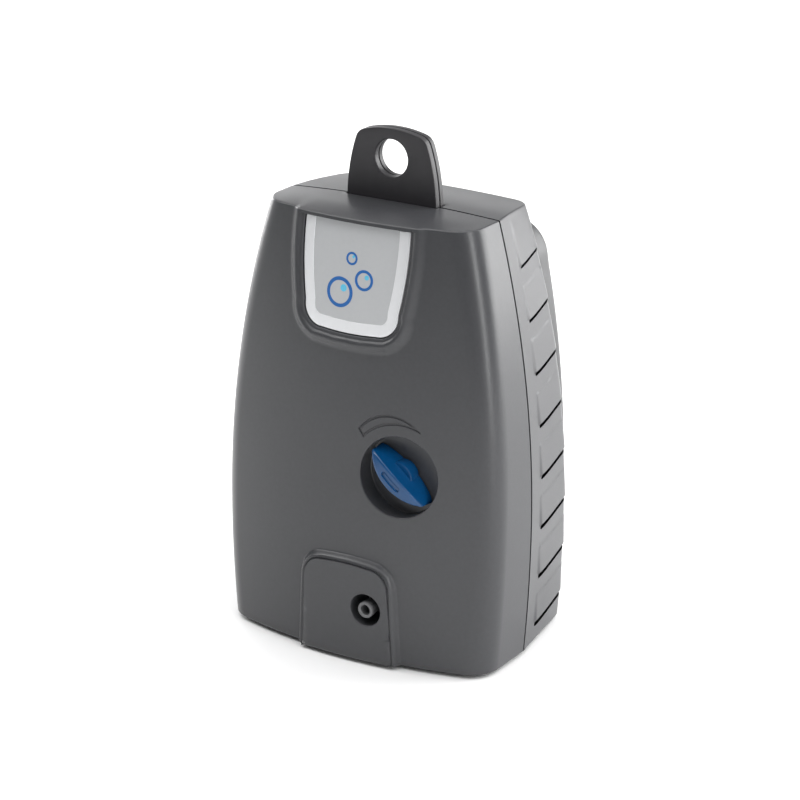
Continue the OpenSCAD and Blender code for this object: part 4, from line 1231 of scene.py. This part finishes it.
node_looks = {
    "black_rubber": ["seam_gasket", "rubber_feet", "cable_gland", "spindle_ring", "isolator_grommets",
                     "arm_bush", "diaphragm", "inlet_flap", "outlet_flap"],
    "steel": ["shell_screws", "valve_screws", "isolator_screws", "core_bolts", "pivot_pin",
              "diaphragm_washers", "diaphragm_screw", "chamber_screws"],
    "white": ["valve_body", "pump_frame", "terminal_block", "swing_arm", "valve_plate"],
    "black": ["coil_bobbin", "chamber_body", "chamber_cap"],
    "hose": ["outlet_hose", "supply_hose"],
    "felt": ["filter_felt"],
    "brass": ["valve_spindle", "terminal_screws"],
    "lamination": ["stator_core"],
    "copper": ["coil_winding"],
    "lead": ["coil_leads"],
    "ferrite": ["arm_magnet"],
}
for look, names in node_looks.items():
    for name in names:
        node = frame["nodes"][name]
        node.data.materials.clear()
        node.data.materials.append(materials[look])


# ---- Camera, floor and light ----

def aimed(name, data, aim, azimuth, elevation, reach):
    """Adds a camera or light that faces aim; azimuth 0 is in front of the pump, 90 degrees to its right."""
    azimuth, elevation = math.radians(azimuth), math.radians(elevation)
    way = Vector((math.sin(azimuth) * math.cos(elevation), -math.cos(azimuth) * math.cos(elevation),
                  math.sin(elevation)))
    thing = bpy.data.objects.new(name, data)
    bpy.context.scene.collection.objects.link(thing)
    thing.location = Vector(aim) + way * reach
    thing.rotation_euler = (-way).to_track_quat("-Z", "Y").to_euler()
    return thing


def make_camera():
    data = bpy.data.cameras.new("camera")
    data.lens = 130.7
    data.sensor_width = 36
    data.shift_x = 0.0077
    data.shift_y = 0.0200
    data.clip_start = 0.01
    middle = (0, SEAM * MM, (HEIGHT / 2 + FOOT) * MM)
    bpy.context.scene.camera = aimed("camera", data, middle, 32.41, 20.1, 0.8524)


def soft_light(name, azimuth, elevation, reach, size, radiance):
    """A rectangular softbox."""
    data = bpy.data.lights.new(name, "AREA")
    data.shape = "RECTANGLE"
    data.size, data.size_y = size
    data.energy = radiance * math.pi * size[0] * size[1]
    aimed(name, data, (0, 0, 0.07), azimuth, elevation, reach)


def make_stage():
    bpy.ops.mesh.primitive_plane_add(size=6, location=(0, 0, -0.0001))
    floor = bpy.context.object
    floor.name = "floor"
    mat, tree, shader = new_material("floor_look", (0.93, 0.93, 0.93), 0.7)
    tint(tree, noise(tree, 6, 2), (0.925, 0.925, 0.925), (0.935, 0.935, 0.935), shader.inputs["Base Color"])
    floor.data.materials.append(mat)
    world = bpy.data.worlds.new("studio")
    bpy.context.scene.world = world
    world.use_nodes = True
    background = world.node_tree.nodes["Background"]
    background.inputs["Color"].default_value = (1, 1, 1, 1)
    background.inputs["Strength"].default_value = 0.24
    soft_light("overhead", 0, 89, 1.5, (2.4, 2.4), 1.9)
    soft_light("back_wall", 207, 12, 1.6, (2.2, 0.6), 1.0)
    soft_light("side_right", 140, 14, 1.1, (0.9, 1.0), 6.5)
    soft_light("strip_right", 76, 18, 1.0, (0.16, 0.9), 9.0)
    soft_light("soft_left", -120, 7, 1.1, (0.8, 0.36), 8.0)
    soft_light("high_left", -75, 42, 1.2, (0.16, 0.8), 9.0)
    bpy.context.scene.view_settings.view_transform = "Standard"


make_camera()
make_stage()
make_front_shell(materials["housing"])
make_rear_shell(materials["housing"])
make_rear_cover(materials["cover"])
make_knob(materials["knob"])
make_tab(materials["tab"])
make_emblem(materials["silver"], materials["label"], materials["print"], materials["glint"])
make_nozzle(materials["nozzle"])
